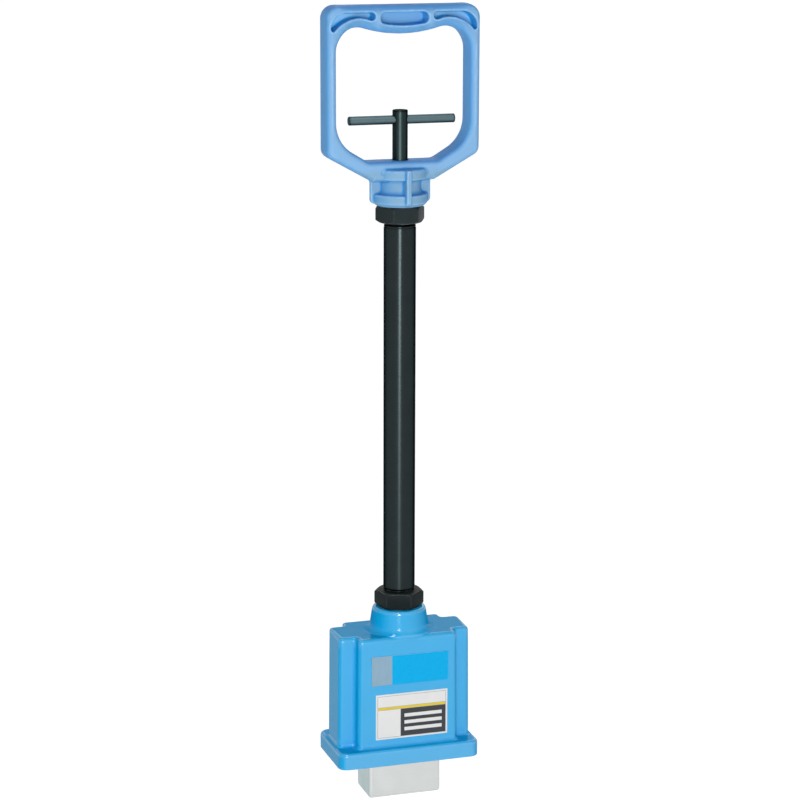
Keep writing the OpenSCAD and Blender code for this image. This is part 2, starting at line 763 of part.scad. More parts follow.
module magnet_carrier() {
    color(brass) difference() {
        slab(block_w, block_d, inner_corner_r, z_carrier, carrier_t);
        translate([0, 0, z_carrier - cut]) cylinder(d = rod_thread_d + 2 * fit, h = carrier_t + 2 * cut);
        carrier_screw_places(z_carrier - cut)
            cylinder(d = carrier_screw_d + 2 * lay, h = carrier_t + 2 * cut);
        carrier_screw_places(z_lock_washer - screw_head_h - lay)
            cylinder(d = screw_head_d + 2 * lay, h = screw_head_h + lay + cut);
    }
}

module carrier_screws() {
    z_head = z_lock_washer - screw_head_h - lay;
    z_low = z_carrier - carrier_screw_bite;
    socket_d = carrier_screw_d * 0.85;
    color(black_steel) difference() {
        union() {
            carrier_screw_places(z_head) cylinder(d = screw_head_d, h = screw_head_h);
            carrier_screw_places(z_low) cylinder(d = carrier_screw_d, h = z_head - z_low + fit);
        }
        carrier_screw_places(z_head + screw_head_h / 2)
            cylinder(d = socket_d, h = screw_head_h, $fn = 6);
    }
}

module pole_plate(x) {
    color(zinc) difference() {
        translate([x - pole_t / 2, -block_d / 2, z_pole]) cube([pole_t, block_d, pole_h]);
        carrier_screw_places(z_carrier - carrier_screw_bite - cut)
            cylinder(d = carrier_screw_d + 2 * fit, h = carrier_screw_bite + 2 * cut);
    }
}

module pole_plate_left() {
    pole_plate(-pole_x);
}

module pole_plate_centre() {
    pole_plate(0);
}

module pole_plate_right() {
    pole_plate(pole_x);
}

module magnet(x) {
    color(magnet_grey) translate([x - magnet_t / 2, -block_d / 2, z_pole + magnet_recess])
        cube([magnet_t, block_d, pole_h - magnet_recess]);
}

module magnet_left() {
    magnet(-magnet_x);
}

module magnet_right() {
    magnet(magnet_x);
}

// A thin plate on the front of the middle block
module front_plate(w, h, t, x, z, r) {
    translate([x, -body_d / 2 - t / 2, z + h / 2])
        rotate([90, 0, 0]) linear_extrude(t, center = true) rounded_rect(w, h, r);
}

module name_plate() {
    corner_r = 0.8;
    z = z_flange_top + label_rise + label_h + plate_gap;
    color(plate_cyan) front_plate(name_plate_w, name_plate_h, name_plate_t, name_plate_x, z, corner_r);
}

module front_label() {
    corner_r = 1;
    z = z_flange_top + label_rise;
    color(label_white) front_plate(label_w, label_h, label_t, label_x, z, corner_r);
}

sheath();
sheath_gasket();
housing();
bottom_plate();
bottom_plate_screws();
outer_tube();
lower_lock_nut();
upper_lock_nut();
upper_guide_bush();
lower_guide_bush();
handle();
return_spring();
spring_seat();
retaining_ring();
pull_rod();
t_bar();
t_bar_set_screw();
rod_jam_nut();
lock_washer();
magnet_carrier();
carrier_screws();
pole_plate_left();
pole_plate_centre();
pole_plate_right();
magnet_left();
magnet_right();
name_plate();
front_label();
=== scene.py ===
"""Looks of the hand lifting magnet, in metres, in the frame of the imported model."""

import itertools
import math

import bpy
import numpy as np
from mathutils import Matrix, Vector


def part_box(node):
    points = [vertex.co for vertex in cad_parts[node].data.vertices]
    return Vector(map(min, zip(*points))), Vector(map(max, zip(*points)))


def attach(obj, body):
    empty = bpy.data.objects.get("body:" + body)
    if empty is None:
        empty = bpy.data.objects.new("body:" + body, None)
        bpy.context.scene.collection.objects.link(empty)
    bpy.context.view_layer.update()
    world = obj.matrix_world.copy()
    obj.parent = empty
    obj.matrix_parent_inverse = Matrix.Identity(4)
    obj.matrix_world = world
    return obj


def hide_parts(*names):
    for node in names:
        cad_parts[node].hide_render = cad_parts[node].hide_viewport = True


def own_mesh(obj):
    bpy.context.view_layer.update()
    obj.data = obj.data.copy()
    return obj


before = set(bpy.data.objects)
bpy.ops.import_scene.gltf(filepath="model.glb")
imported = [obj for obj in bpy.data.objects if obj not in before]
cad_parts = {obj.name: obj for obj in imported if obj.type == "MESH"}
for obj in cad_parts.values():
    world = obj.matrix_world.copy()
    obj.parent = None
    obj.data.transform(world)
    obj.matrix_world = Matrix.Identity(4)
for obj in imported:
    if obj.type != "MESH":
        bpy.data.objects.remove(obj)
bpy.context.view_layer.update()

scene = bpy.context.scene
MM = 0.001
COS_30, COS_45 = 0.866, 0.7071

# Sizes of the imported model, in millimetres
SHEATH_W, SHEATH_D, SHEATH_WALL, SHEATH_RIM, SHEATH_CORNER = 63.1, 35.2, 1.5, 8.0, 2.5
Z_FLANGE, Z_PLATE_TOP, Z_LEDGE, Z_FLANGE_TOP = 34.0, 38.0, 40.5, 48.0
Z_ROOF_IN, Z_ROOF, Z_BOSS = 135.9, 143.9, 163.7
FLANGE_W, FLANGE_D, FLANGE_CORNER = 123.0, 67.0, 8.0
BODY_W, BODY_D, LOBES_W, LOBES_D, WALL = 87.5, 53.0, 116.0, 33.0, 8.0
HOUSING_CORNER, HOUSING_FILLET, CAVITY_CORNER, DRAFT = 4.0, 3.0, 2.0, 0.9
BOSS_R, BOSS_START, BOSS_TAPER, BOSS_RISE = 24.6, 4.0, 2.15, 14.3
PLATE_W, PLATE_D, PLATE_CORNER = 111.0, 55.0, 4.0
SCREW_X, SCREW_Y, SCREW_R, SCREW_HEAD_R = 48.0, 20.0, 2.5, 5.0
NUT_AF, NUT_T, THREAD_R = 36.0, 14.0, 12.0
TUBE_R, TUBE_BORE_R = 13.25, 9.0
Z_TUBE_END, Z_LOW_SHOULDER, Z_TOP_SHOULDER, Z_TUBE_TOP = 137.4, 179.5, 486.5, 524.7
Z_UPPER_NUT, Z_HANDLE, Z_UPPER_FLANGE, Z_COLLAR_TOP = 488.3, 502.3, 524.0, 532.7
Z_FLOOR, Z_BELLY, Z_CREST, Z_TOP = 539.1, 640.1, 645.6, 663.7
HALF_W, HALF_T, OPEN_HALF_W, POCKET_DEPTH = 64.45, 13.0, 56.05, 15.0
RIB_REACH, RIB_HALF_T, RIB_FOOT, TUBE_END_GAP = 25.6, 2.1, 1.8, 1.55
ROD_R, ROD_STEP, Z_ROD_END, Z_ROD_NECK, Z_ROD_TOP = 6.25, 1.0, 68.6, 79.6, 579.3
Z_T_BAR, T_BAR_R, T_BAR_HALF, T_BAR_X = 571.3, 3.6, 44.75, 1.25
SET_SCREW_R, Z_SET_SCREW, Z_SET_SOCKET, Z_SET_TOP = 3.0, 574.95, 576.8, 578.8
Z_SPRING_LOW, Z_SPRING_TOP, SPRING_R, WIRE_R, SPRING_TURNS = 379.7, 494.7, 7.625, 0.7, 24

# Gaps round the sheath and the bottom plate, round threads and pins, and round the sliding rod
FIT, CLOSE_FIT, ROD_GAP = 0.2, 0.05, 0.6


# Mesh tools

def piece(name, points, faces, body, materials, nodes, normals=None, layers=None, indices=None):
    """A smooth mesh from points in millimetres, riding on a body and standing for CAD nodes."""
    mesh = bpy.data.meshes.new(name)
    mesh.from_pydata((np.asarray(points, float) * MM).tolist(), [], [list(map(int, f)) for f in faces])
    mesh.polygons.foreach_set("use_smooth", np.ones(len(mesh.polygons), bool))
    for material in materials:
        mesh.materials.append(material)
    if indices is not None:
        mesh.polygons.foreach_set("material_index", np.asarray(indices, np.int32))
    for label, values in (layers or {}).items():
        layer = mesh.attributes.new(label, "FLOAT", "POINT")
        layer.data.foreach_set("value", np.asarray(values, np.float32))
    mesh.update()
    if normals is not None:
        mesh.normals_split_custom_set_from_vertices(normals.tolist())
    obj = bpy.data.objects.new(name, mesh)
    scene.collection.objects.link(obj)
    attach(obj, body)
    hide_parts(*nodes)
    return obj


def sharpen(obj, degrees):
    """Keeps edges sharper than this angle crisp in the shading."""
    obj.data.set_sharp_from_angle(angle=math.radians(degrees))


def strip(rows, columns, closed):
    """Quads between rings of points, and from the last ring to the first if closed."""
    faces = []
    for i in range(rows if closed else rows - 1):
        for k in range(columns):
            a, b = i * columns + k, i * columns + (k + 1) % columns
            c, d = ((i + 1) % rows) * columns + (k + 1) % columns, ((i + 1) % rows) * columns + k
            faces.append((a, b, c, d))
    return faces


def arc(centre, r, start, end, steps):
    """Points of an arc, with the angles in degrees."""
    t = np.radians(np.linspace(start, end, steps + 1))
    return [(centre[0] + r * c, centre[1] + r * s) for c, s in zip(np.cos(t), np.sin(t))]


def rounded(corners, steps=12):
    """A closed outline whose corners are given as (u, v, radius)."""
    out = []
    for i, (u, v, r) in enumerate(corners):
        here = np.array([u, v], float)
        if r == 0:
            out.append((u, v))
            continue
        a = np.array(corners[i - 1][:2], float) - here
        b = np.array(corners[(i + 1) % len(corners)][:2], float) - here
        a, b = a / np.linalg.norm(a), b / np.linalg.norm(b)
        half = math.acos(float(np.clip(a @ b, -1, 1))) / 2
        middle = here + (a + b) / np.linalg.norm(a + b) * r / math.sin(half)
        first, last = here + a * r / math.tan(half) - middle, here + b * r / math.tan(half) - middle
        start = math.degrees(math.atan2(first[1], first[0]))
        end = math.degrees(math.atan2(last[1], last[0]))
        end -= 360 * round((end - start) / 360)
        out += arc(middle, r, start, end, steps)
    return out


def mirrored(right):
    """The corners of an outline's right side, followed by their mirror images."""
    return right + [(-x, z, r) for x, z, r in right[::-1]]


def lathe(profile, sides, shape=None):
    """Points and quads of a closed profile of (radius, height) turned about Z."""
    turn = np.arange(sides) * 2 * math.pi / sides
    points = []
    for r, z in profile:
        radius = np.full(sides, float(r)) if shape is None else shape(r, z, turn)
        points.append(np.stack([radius * np.cos(turn), radius * np.sin(turn), np.full(sides, float(z))], 1))
    return np.concatenate(points), strip(len(profile), sides, True)


def plan_ring(a, b, r, z, steps=8):
    """A ring of points round a rectangle of half sizes a and b with rounded corners."""
    out = []
    for sx, sy, start in ((1, 1, 0), (-1, 1, 90), (-1, -1, 180), (1, -1, 270)):
        out += arc((sx * (a - r), sy * (b - r)), r, start, start + 90, steps)
    return [(x, y, z) for x, y in out]


def loft(rings):
    """Points and quads of rings of the same length, with both ends filled."""
    n = len(rings[0])
    faces = strip(len(rings), n, False)
    faces.append(tuple(range(n))[::-1])
    faces.append(tuple(range((len(rings) - 1) * n, len(rings) * n)))
    return np.concatenate([np.asarray(r, float) for r in rings]), faces


# Distance fields: negative inside, in millimetres

def over(a):
    return np.maximum(a, 0)


def ramp(value, start, end):
    """From 0 at the start to 1 at the end, and held beyond them."""
    return np.clip((value - start) / (end - start), 0, 1)


def rect(u, v, a, b, r):
    """Distance to a rectangle of half sizes a and b with corners of radius r."""
    qu, qv = np.abs(u) - a + r, np.abs(v) - b + r
    return np.hypot(over(qu), over(qv)) + np.minimum(np.maximum(qu, qv), 0) - r


def hexagon(x, y, half):
    """Distance to the sides of a hexagon of this half width across its flats."""
    slanted = np.maximum(np.abs(COS_30 * x + 0.5 * y), np.abs(COS_30 * x - 0.5 * y))
    return np.maximum(np.abs(y), slanted) - half


def meet(a, b, r):
    """What is inside both fields, with edges of radius r."""
    return np.minimum(-r, np.maximum(a, b)) + np.hypot(over(r + a), over(r + b))


def join(a, b, r):
    """What is inside either field, with a fillet of radius r."""
    return np.maximum(r, np.minimum(a, b)) - np.hypot(over(r - a), over(r - b))


def drill(a, b, r):
    """The first field less the second, with a rounded mouth."""
    return meet(a, -b, r)


class Outline:
    """Distance to a closed outline, held on a fine grid."""

    def __init__(self, points, step=0.3, pad=7.0):
        p = np.asarray(points, float)
        self.low, self.step = p.min(0) - pad, step
        self.count = np.ceil((p.max(0) + pad - self.low) / step).astype(int) + 1
        u = self.low[0] + step * np.arange(self.count[0])
        v = self.low[1] + step * np.arange(self.count[1])
        u, v = np.meshgrid(u, v, indexing="ij")
        best, inside = np.full(u.shape, 1e9), np.zeros(u.shape, bool)
        for a, b in zip(p, np.roll(p, -1, 0)):
            e = b - a
            if e @ e < 1e-12:
                continue
            t = np.clip(((u - a[0]) * e[0] + (v - a[1]) * e[1]) / (e @ e), 0, 1)
            best = np.minimum(best, (u - a[0] - t * e[0]) ** 2 + (v - a[1] - t * e[1]) ** 2)
            if e[1] != 0:
                crossed = (a[1] > v) != (b[1] > v)
                inside ^= crossed & (u < a[0] + e[0] * (v - a[1]) / e[1])
        self.field = np.sqrt(best) * np.where(inside, -1, 1)

    def __call__(self, u, v):
        a = np.clip((u - self.low[0]) / self.step, 0, self.count[0] - 1.001)
        b = np.clip((v - self.low[1]) / self.step, 0, self.count[1] - 1.001)
        i, k = a.astype(int), b.astype(int)
        a, b = a - i, b - k
        f = self.field
        near = f[i, k] * (1 - a) + f[i + 1, k] * a
        far = f[i, k + 1] * (1 - a) + f[i + 1, k + 1] * a
        return near * (1 - b) + far * b


def stations(*spans):
    """Grid lines from spans of (start, end, step)."""
    out = []
    for start, end, step in spans:
        n = max(1, round((end - start) / step))
        out += [start + (end - start) * i / n for i in range(n)]
    return np.array(out + [spans[-1][1]])


def both(*spans):
    """Grid lines from spans given for one side, and mirrored to the other."""
    half = stations(*spans)
    return np.concatenate([-half[:0:-1], half])


def slope(field, p, h):
    """Gradient of a field at points, by central differences."""
    x, y, z = p.T
    return np.stack([
        field(x + h, y, z) - field(x - h, y, z),
        field(x, y + h, z) - field(x, y - h, z),
        field(x, y, z + h) - field(x, y, z - h)], 1) / (2 * h)


def net(field, x, y, z, soft=0.25):
    """Points, quads, normals and edge sharpness of a field's surface, sampled on the grid lines."""
    f = field(*np.meshgrid(x, y, z, indexing="ij"))
    inside = f < 0
    n = np.array(f.shape) - 1
    count = sum(inside[i:n[0] + i, j:n[1] + j, k:n[2] + k].astype(np.int8)
                for i, j, k in itertools.product((0, 1), repeat=3))
    cells = np.argwhere((count > 0) & (count < 8))
    number = np.full(n, -1)
    number[tuple(cells.T)] = np.arange(len(cells))

    # Each cell that the surface crosses gets a point, the mean of where it cuts the cell's edges
    lines = (x, y, z)
    total, hits = np.zeros((len(cells), 3)), np.zeros(len(cells))
    for axis in range(3):
        step = np.eye(3, dtype=int)[axis]
        others = [k for k in range(3) if k != axis]
        for du, dv in itertools.product((0, 1), repeat=2):
            a = cells.copy()
            a[:, others[0]] += du
            a[:, others[1]] += dv
            b = a + step
            fa, fb = f[tuple(a.T)], f[tuple(b.T)]
            hit = (fa < 0) != (fb < 0)
            t = np.where(hit, fa / np.where(hit, fa - fb, 1), 0)[:, None]
            pa = np.stack([lines[k][a[:, k]] for k in range(3)], 1)
            pb = np.stack([lines[k][b[:, k]] for k in range(3)], 1)
            total += hit[:, None] * (pa + t * (pb - pa))
            hits += hit
    points = total / hits[:, None]

    # Each grid edge that the surface cuts gets a quad between the four cells round it
    faces = []
    for axis in range(3):
        u, v = [(1, 2), (2, 0), (0, 1)][axis]
        low, high = [slice(None)] * 3, [slice(None)] * 3
        low[axis], high[axis] = slice(0, -1), slice(1, None)
        for k in (u, v):
            low[k] = high[k] = slice(1, -1)
        a, b = inside[tuple(low)], inside[tuple(high)]
        for flip, found in ((False, a & ~b), (True, ~a & b)):
            at = np.argwhere(found)
            at[:, u] += 1
            at[:, v] += 1
            ring = []
            for du, dv in ((0, 0), (1, 0), (1, 1), (0, 1)):
                cell = at.copy()
                cell[:, u] -= 1 - du
                cell[:, v] -= 1 - dv
                ring.append(number[tuple(cell.T)])
            quads = np.stack(ring, 1)
            faces.append(quads[:, ::-1] if flip else quads)

    # A few short moves along the slope bring the points onto the surface
    probe, least_slope, longest, moves = 0.05, 0.2, 0.6, 3
    for _ in range(moves):
        g = slope(field, points, probe)
        move = field(*points.T) / np.maximum((g * g).sum(1), least_slope)
        points -= np.clip(move, -longest, longest)[:, None] * g
    normals = slope(field, points, soft)
    normals /= np.maximum(np.linalg.norm(normals, axis=1), 1e-9)[:, None]

    # How far the field bends within a millimetre: above 0 on edges, below 0 in fillets
    px, py, pz = points.T
    around = ((1, 0, 0), (-1, 0, 0), (0, 1, 0), (0, -1, 0), (0, 0, 1), (0, 0, -1))
    bend = sum(field(px + dx, py + dy, pz + dz) for dx, dy, dz in around) - 6 * field(px, py, pz)
    return points, np.concatenate(faces), normals, np.clip(bend, -1, 1)


def round_net(field, reach, step, soft, *heights):
    """The same for a piece round Z, with even grid lines out to this reach."""
    lines = both((0, reach, step))
    return net(field, lines, lines, stations(*heights), soft)


# Materials

class Finish:
    """A procedural material on a Principled shader. Lengths in its textures are millimetres."""

    def __init__(self, name, **sockets):
        self.material = bpy.data.materials.new(name)
        self.material.use_nodes = True
        self.tree = self.material.node_tree
        self.shader = self.tree.nodes["Principled BSDF"]
        self.place = self.new("ShaderNodeTexCoord").outputs["Object"]
        self.normal = None
        for key, value in sockets.items():
            socket = self.shader.inputs[key.replace("_", " ")]
            socket.default_value = (*value, 1) if isinstance(value, tuple) else value

    def new(self, kind, **settings):
        node = self.tree.nodes.new(kind)
        for key, value in settings.items():
            setattr(node, key, value)
        return node

    def join(self, source, socket):
        self.tree.links.new(source, socket)

    def noise(self, size, detail=2.0, rough=0.5, stretch=(1, 1, 1)):
        """Noise from 0 to 1 whose lumps are about this many millimetres across."""
        mapping = self.new("ShaderNodeMapping")
        mapping.inputs["Scale"].default_value = [1000 / size / s for s in stretch]
        self.join(self.place, mapping.inputs["Vector"])
        node = self.new("ShaderNodeTexNoise")
        node.inputs["Scale"].default_value = 1.0
        node.inputs["Detail"].default_value = detail
        node.inputs["Roughness"].default_value = rough
        self.join(mapping.outputs["Vector"], node.inputs["Vector"])
        return node.outputs["Fac"]

    def axis(self, name):
        """One coordinate, in metres."""
        node = self.new("ShaderNodeSeparateXYZ")
        self.join(self.place, node.inputs["Vector"])
        return node.outputs[name]

    def layer(self, name):
        """A value that the mesh carries at its points, or else 0."""
        return self.new("ShaderNodeAttribute", attribute_name=name).outputs["Fac"]

    def math(self, operation, a, b=None):
        node = self.new("ShaderNodeMath", operation=operation)
        for socket, value in zip(node.inputs, (a, b)):
            if isinstance(value, bpy.types.NodeSocket):
                self.join(value, socket)
            elif value is not None:
                socket.default_value = value
        return node.outputs[0]

    def times(self, a, b):
        return self.math("MULTIPLY", a, b)

    def span(self, source, low, high, out_low=0.0, out_high=1.0):
        """The source brought smoothly from one range to another, and held there."""
        node = self.new("ShaderNodeMapRange", interpolation_type="SMOOTHSTEP")
        for key, value in (("From Min", low), ("From Max", high), ("To Min", out_low), ("To Max", out_high)):
            node.inputs[key].default_value = value
        self.join(source, node.inputs["Value"])
        return node.outputs["Result"]

    def rise(self, low, high, out_low=0.0, out_high=1.0):
        """A smooth change between two heights in millimetres."""
        return self.span(self.axis("Z"), low * MM, high * MM, out_low, out_high)

    def mix(self, amount, a, b):
        """Colour a where amount is 0 and b where it is 1."""
        node = self.new("ShaderNodeMix", data_type="RGBA")
        self.join(amount, node.inputs[0])
        for socket, value in ((node.inputs[6], a), (node.inputs[7], b)):
            if isinstance(value, tuple):
                socket.default_value = (*value, 1)
            else:
                self.join(value, socket)
        return node.outputs[2]

    def colour(self, source):
        self.join(source, self.shader.inputs["Base Color"])

    def rough(self, source, low, high):
        self.join(self.span(source, 0.25, 0.75, low, high), self.shader.inputs["Roughness"])

    def bump(self, height, depth):
        """Relief of this depth in millimetres, on top of what is there."""
        node = self.new("ShaderNodeBump")
        node.inputs["Strength"].default_value = 1.0
        node.inputs["Distance"].default_value = depth * MM
        self.join(height, node.inputs["Height"])
        if self.normal is not None:
            self.join(self.normal, node.inputs["Normal"])
        self.normal = node.outputs["Normal"]
        self.join(self.normal, self.shader.inputs["Normal"])


def housing_paint():
    """Thick paint: painted light pales faces turned front, painted shade darkens fillets; glossiest on edges
    by roof and flange.
    """
    f = Finish("housing_paint", Specular_IOR_Level=0.0, Coat_Roughness=0.11)
    mottle = f.noise(38, 3)
    tone = f.mix(mottle, (0.0, 0.355, 0.715), (0.004, 0.385, 0.76))
    # Painted light: faces turned to the front or back take a paler tone, palest on the flange front and the
    # boss front.
    face = f.mix(mottle, (0.058, 0.40, 0.735), (0.070, 0.43, 0.78))
    face = f.mix(f.rise(Z_FLANGE_TOP + 3, Z_FLANGE_TOP), face, (0.100, 0.435, 0.765))
    boss = f.mix(f.span(f.layer("front"), 0.45, 1.0, 0.0, 0.9), tone, face)
    tone = f.mix(f.span(f.layer("front"), 0.75, 0.99), tone, face)
    tone = f.mix(f.rise(Z_ROOF + 1, Z_ROOF + 4), tone, boss)
    # Painted shade: fillets and creases are darkened.
    painted_fillet_shade = f.span(f.layer("edge"), -0.1, -0.45)
    tone = f.mix(f.times(painted_fillet_shade, 0.5), tone, (0.0, 0.28, 0.65))
    thin = f.times(f.span(f.layer("edge"), 0.12, 0.5), f.noise(5, 3))
    f.colour(f.mix(f.times(thin, 0.3), tone, (0.10, 0.50, 0.86)))
    flat = f.rise(Z_ROOF + 4, Z_ROOF + 7, 0.40, 0.05)
    flat = f.times(flat, f.span(f.layer("up"), 0.6, 0.9, 1.0, 0.6))
    ends = f.math("ADD", f.rise(Z_ROOF - 12, Z_ROOF - 6), f.rise(Z_FLANGE_TOP + 9, Z_FLANGE_TOP + 4))
    turned = f.times(f.span(f.math("ABSOLUTE", f.layer("edge")), 0.08, 0.25), ends)
    f.join(f.math("MAXIMUM", flat, turned), f.shader.inputs["Coat Weight"])
    f.rough(f.noise(9, 3), 0.24, 0.34)
    f.bump(f.noise(7, 2), 0.10)
    f.bump(f.noise(2.2, 2, 0.6), 0.035)
    f.join(f.normal, f.shader.inputs["Coat Normal"])
    return f.material


def handle_plastic():
    """Moulded plastic with a duller collar and a fine seam: painted light on fronts and pocket floors,
    painted shade on grip, tops, creases and under pocket lips.
    """
    f = Finish("handle_plastic", Specular_IOR_Level=0.05)
    low = f.rise(535, 528)
    tone = f.mix(f.noise(45, 2), (0.124, 0.390, 0.775), (0.138, 0.415, 0.805))
    tone = f.mix(low, tone, (0.150, 0.385, 0.665))
    # Painted shade: the front tone is darker over the grip band.
    front = f.mix(f.layer("grip"), (0.226, 0.438, 0.710), (0.146, 0.350, 0.625))
    front = f.mix(low, front, (0.218, 0.395, 0.580))
    # Painted light: faces turned to the front or back take the paler front tone.
    tone = f.mix(f.span(f.layer("front"), 0.45, 0.98), tone, front)
    # Painted shade: faces turned up are darker.
    tone = f.mix(f.span(f.layer("up"), 0.25, 0.95, 0.0, 0.8), tone, (0.075, 0.27, 0.66))
    # Painted light: pocket floors are paler.
    inner = f.mix(f.span(f.layer("front"), 0.45, 0.98), (0.03, 0.53, 0.96), (0.28, 0.60, 0.89))
    tone = f.mix(f.layer("pocket"), tone, inner)
    # Painted shadow along each pocket's floor under its top lip.
    tone = f.mix(f.layer("painted_lip_shadow"), tone, (0.10, 0.36, 0.57))
    # Painted shade in creases, weaker on the pocket floors.
    fade = f.span(f.layer("pocket"), 0.0, 1.0, 0.75, 0.3)
    painted_crease_shade = f.times(f.span(f.layer("edge"), -0.12, -0.5), fade)
    tone = f.mix(painted_crease_shade, tone, (0.030, 0.25, 0.60))
    # Convex edges lighter: partly rubbed wear, partly painted highlight.
    rub_and_highlight = f.times(f.span(f.layer("edge"), 0.2, 0.6), f.noise(4, 4, 0.6))
    f.colour(f.mix(rub_and_highlight, tone, (0.31, 0.56, 0.86)))
    f.rough(f.noise(6, 3), 0.42, 0.52)
    f.bump(f.noise(18, 2), 0.06)
    f.bump(f.noise(0.5, 2, 0.6), 0.012)
    seam = f.span(f.math("ABSOLUTE", f.axis("Y")), 0.1 * MM, 0.3 * MM, 1.0, 0.0)
    f.bump(seam, 0.08)
    return f.material


def dark_steel(name, dark, light, low, high, stretch, turned=0.0):
    """Blackened steel with fine marks drawn out along one direction, and turned marks round Z."""
    f = Finish(name, Metallic=1.0, Specular_Tint=(0.35, 0.35, 0.35), Anisotropic=turned,
               Anisotropic_Rotation=0.25)
    round_z = f.new("ShaderNodeTangent", direction_type="RADIAL", axis="Z")
    f.join(round_z.outputs[0], f.shader.inputs["Tangent"])
    tone = f.mix(f.noise(14, 4, 0.6), dark, light)
    # Painted shade: the rim layer darkens the rod's top end and the T-bar's end rims.
    f.colour(f.mix(f.layer("rim"), tone, tuple(0.3 * v for v in dark)))
    marks = f.noise(0.5, 3, 0.6, stretch)
    f.rough(f.noise(3, 4, 0.65, stretch), low, high)
    f.bump(marks, 0.006)
    f.bump(f.noise(1.2, 3, 0.6), 0.006)
    return f.material


def black_oxide():
    """Blackened nuts and screws: a dull dark coat, painted paler high up, with edges lighter as wear and
    painted highlight.
    """
    f = Finish("black_oxide", Specular_IOR_Level=0.03)
    # Painted light: the upper nut is given a paler tone than the lower one.
    high = f.rise(300, 400)
    dark = f.mix(high, (0.008, 0.013, 0.014), (0.018, 0.026, 0.028))
    light = f.mix(high, (0.013, 0.019, 0.020), (0.027, 0.036, 0.038))
    tone = f.mix(f.noise(10, 4, 0.6), dark, light)
    # Edges lighter, partly wear and partly painted highlight.
    wear_and_highlight = f.times(f.layer("edge"), f.span(f.noise(6, 3, 0.6), 0.35, 0.6, 0.1, 0.6))
    f.colour(f.mix(wear_and_highlight, tone, (0.12, 0.135, 0.135)))
    across = (4, 4, 1)
    f.rough(f.noise(3, 4, 0.65, across), 0.34, 0.44)
    f.bump(f.noise(0.5, 3, 0.6, across), 0.008)
    f.bump(f.noise(1.2, 3, 0.6), 0.006)
    return f.material


def bright_metal(name, dark, light, low, high, grain, stretch):
    """Bare metal, brushed or ground along one direction."""
    f = Finish(name, Metallic=1.0)
    lines = f.noise(grain, 4, 0.7, stretch)
    f.colour(f.mix(lines, dark, light))
    f.rough(f.noise(12, 3), low, high)
    f.bump(lines, 0.004)
    return f.material


def rubber():
    f = Finish("gasket_rubber", Specular_IOR_Level=0.3)
    f.colour(f.mix(f.noise(6, 3), (0.012, 0.012, 0.012), (0.022, 0.022, 0.021)))
    f.rough(f.noise(2, 3), 0.6, 0.8)
    f.bump(f.noise(0.4, 2), 0.01)
    return f.material


def ink(name, dark, light, low=0.3, high=0.45, gloss=0.5):
    """A printed or coated sheet, with slight mottling."""
    f = Finish(name, Specular_IOR_Level=gloss)
    f.colour(f.mix(f.noise(7, 4, 0.6), dark, light))
    f.rough(f.noise(4, 3), low, high)
    f.bump(f.noise(1.5, 2), 0.004)
    return f.material


# How far marks are drawn out along X, Y and Z
DRAWN_X, DRAWN_Z, BRUSHED = (60, 1, 1), (1, 1, 60), (40, 40, 1)

PAINT = housing_paint()
PLASTIC = handle_plastic()
BLACK_TUBE = dark_steel("black_steel_drawn", (0.019, 0.026, 0.028), (0.026, 0.034, 0.036), 0.27, 0.32,
                        DRAWN_Z, 0.8)
BLACK_NUT = black_oxide()
ROD_STEEL = dark_steel("rod_steel", (0.016, 0.026, 0.026), (0.025, 0.038, 0.038), 0.34, 0.42, DRAWN_Z)
BAR_STEEL = dark_steel("bar_steel", (0.072, 0.112, 0.122), (0.100, 0.148, 0.158), 0.38, 0.46, DRAWN_X)
# Painted shade: a darker copy of the stainless for the sheath's end faces.
STAINLESS_SHADED_END = bright_metal("stainless_shaded_end", (0.345, 0.425, 0.425), (0.43, 0.515, 0.515), 0.34, 0.46,
                             0.35, BRUSHED)
STAINLESS = bright_metal("stainless", (0.525, 0.545, 0.535), (0.635, 0.645, 0.635), 0.3, 0.42, 0.35, BRUSHED)
ZINC = bright_metal("zinc_steel", (0.48, 0.49, 0.50), (0.62, 0.63, 0.65), 0.32, 0.45, 1.2, (3, 1, 1))
BRONZE = bright_metal("bush_bronze", (0.42, 0.26, 0.09), (0.52, 0.34, 0.13), 0.3, 0.4, 0.4, (8, 8, 1))
BRASS = bright_metal("carrier_brass", (0.52, 0.38, 0.12), (0.62, 0.47, 0.17), 0.3, 0.4, 0.5, (30, 1, 1))
SPRING = bright_metal("spring_steel", (0.18, 0.18, 0.19), (0.27, 0.27, 0.28), 0.3, 0.42, 0.6, (1, 1, 1))
POLE = bright_metal("pole_steel", (0.30, 0.31, 0.32), (0.42, 0.43, 0.44), 0.3, 0.42, 0.4, (1, 40, 1))
MAGNET = bright_metal("magnet_material", (0.14, 0.14, 0.15), (0.22, 0.22, 0.23), 0.45, 0.6, 1.0, (1, 1, 1))
RUBBER = rubber()
# The aluminium's blue-grey tone is a painted bluish reflection.
PLATE_SILVER = bright_metal("plate_aluminium", (0.185, 0.30, 0.395), (0.285, 0.415, 0.52), 0.3, 0.4,
                            0.3, (1, 1, 40))
PLATE_BLUE = ink("plate_enamel", (0.002, 0.385, 0.76), (0.006, 0.42, 0.80), 0.25, 0.35, 0.1)
LABEL_WHITE = ink("label_vinyl", (0.70, 0.70, 0.69), (0.76, 0.76, 0.75))
LABEL_GREY = ink("label_rule", (0.28, 0.28, 0.29), (0.34, 0.34, 0.35))
LABEL_DARK = ink("label_panel", (0.012, 0.014, 0.02), (0.02, 0.023, 0.03))
LABEL_YELLOW = ink("label_stripe", (0.68, 0.52, 0.02), (0.75, 0.58, 0.03))


# Housing

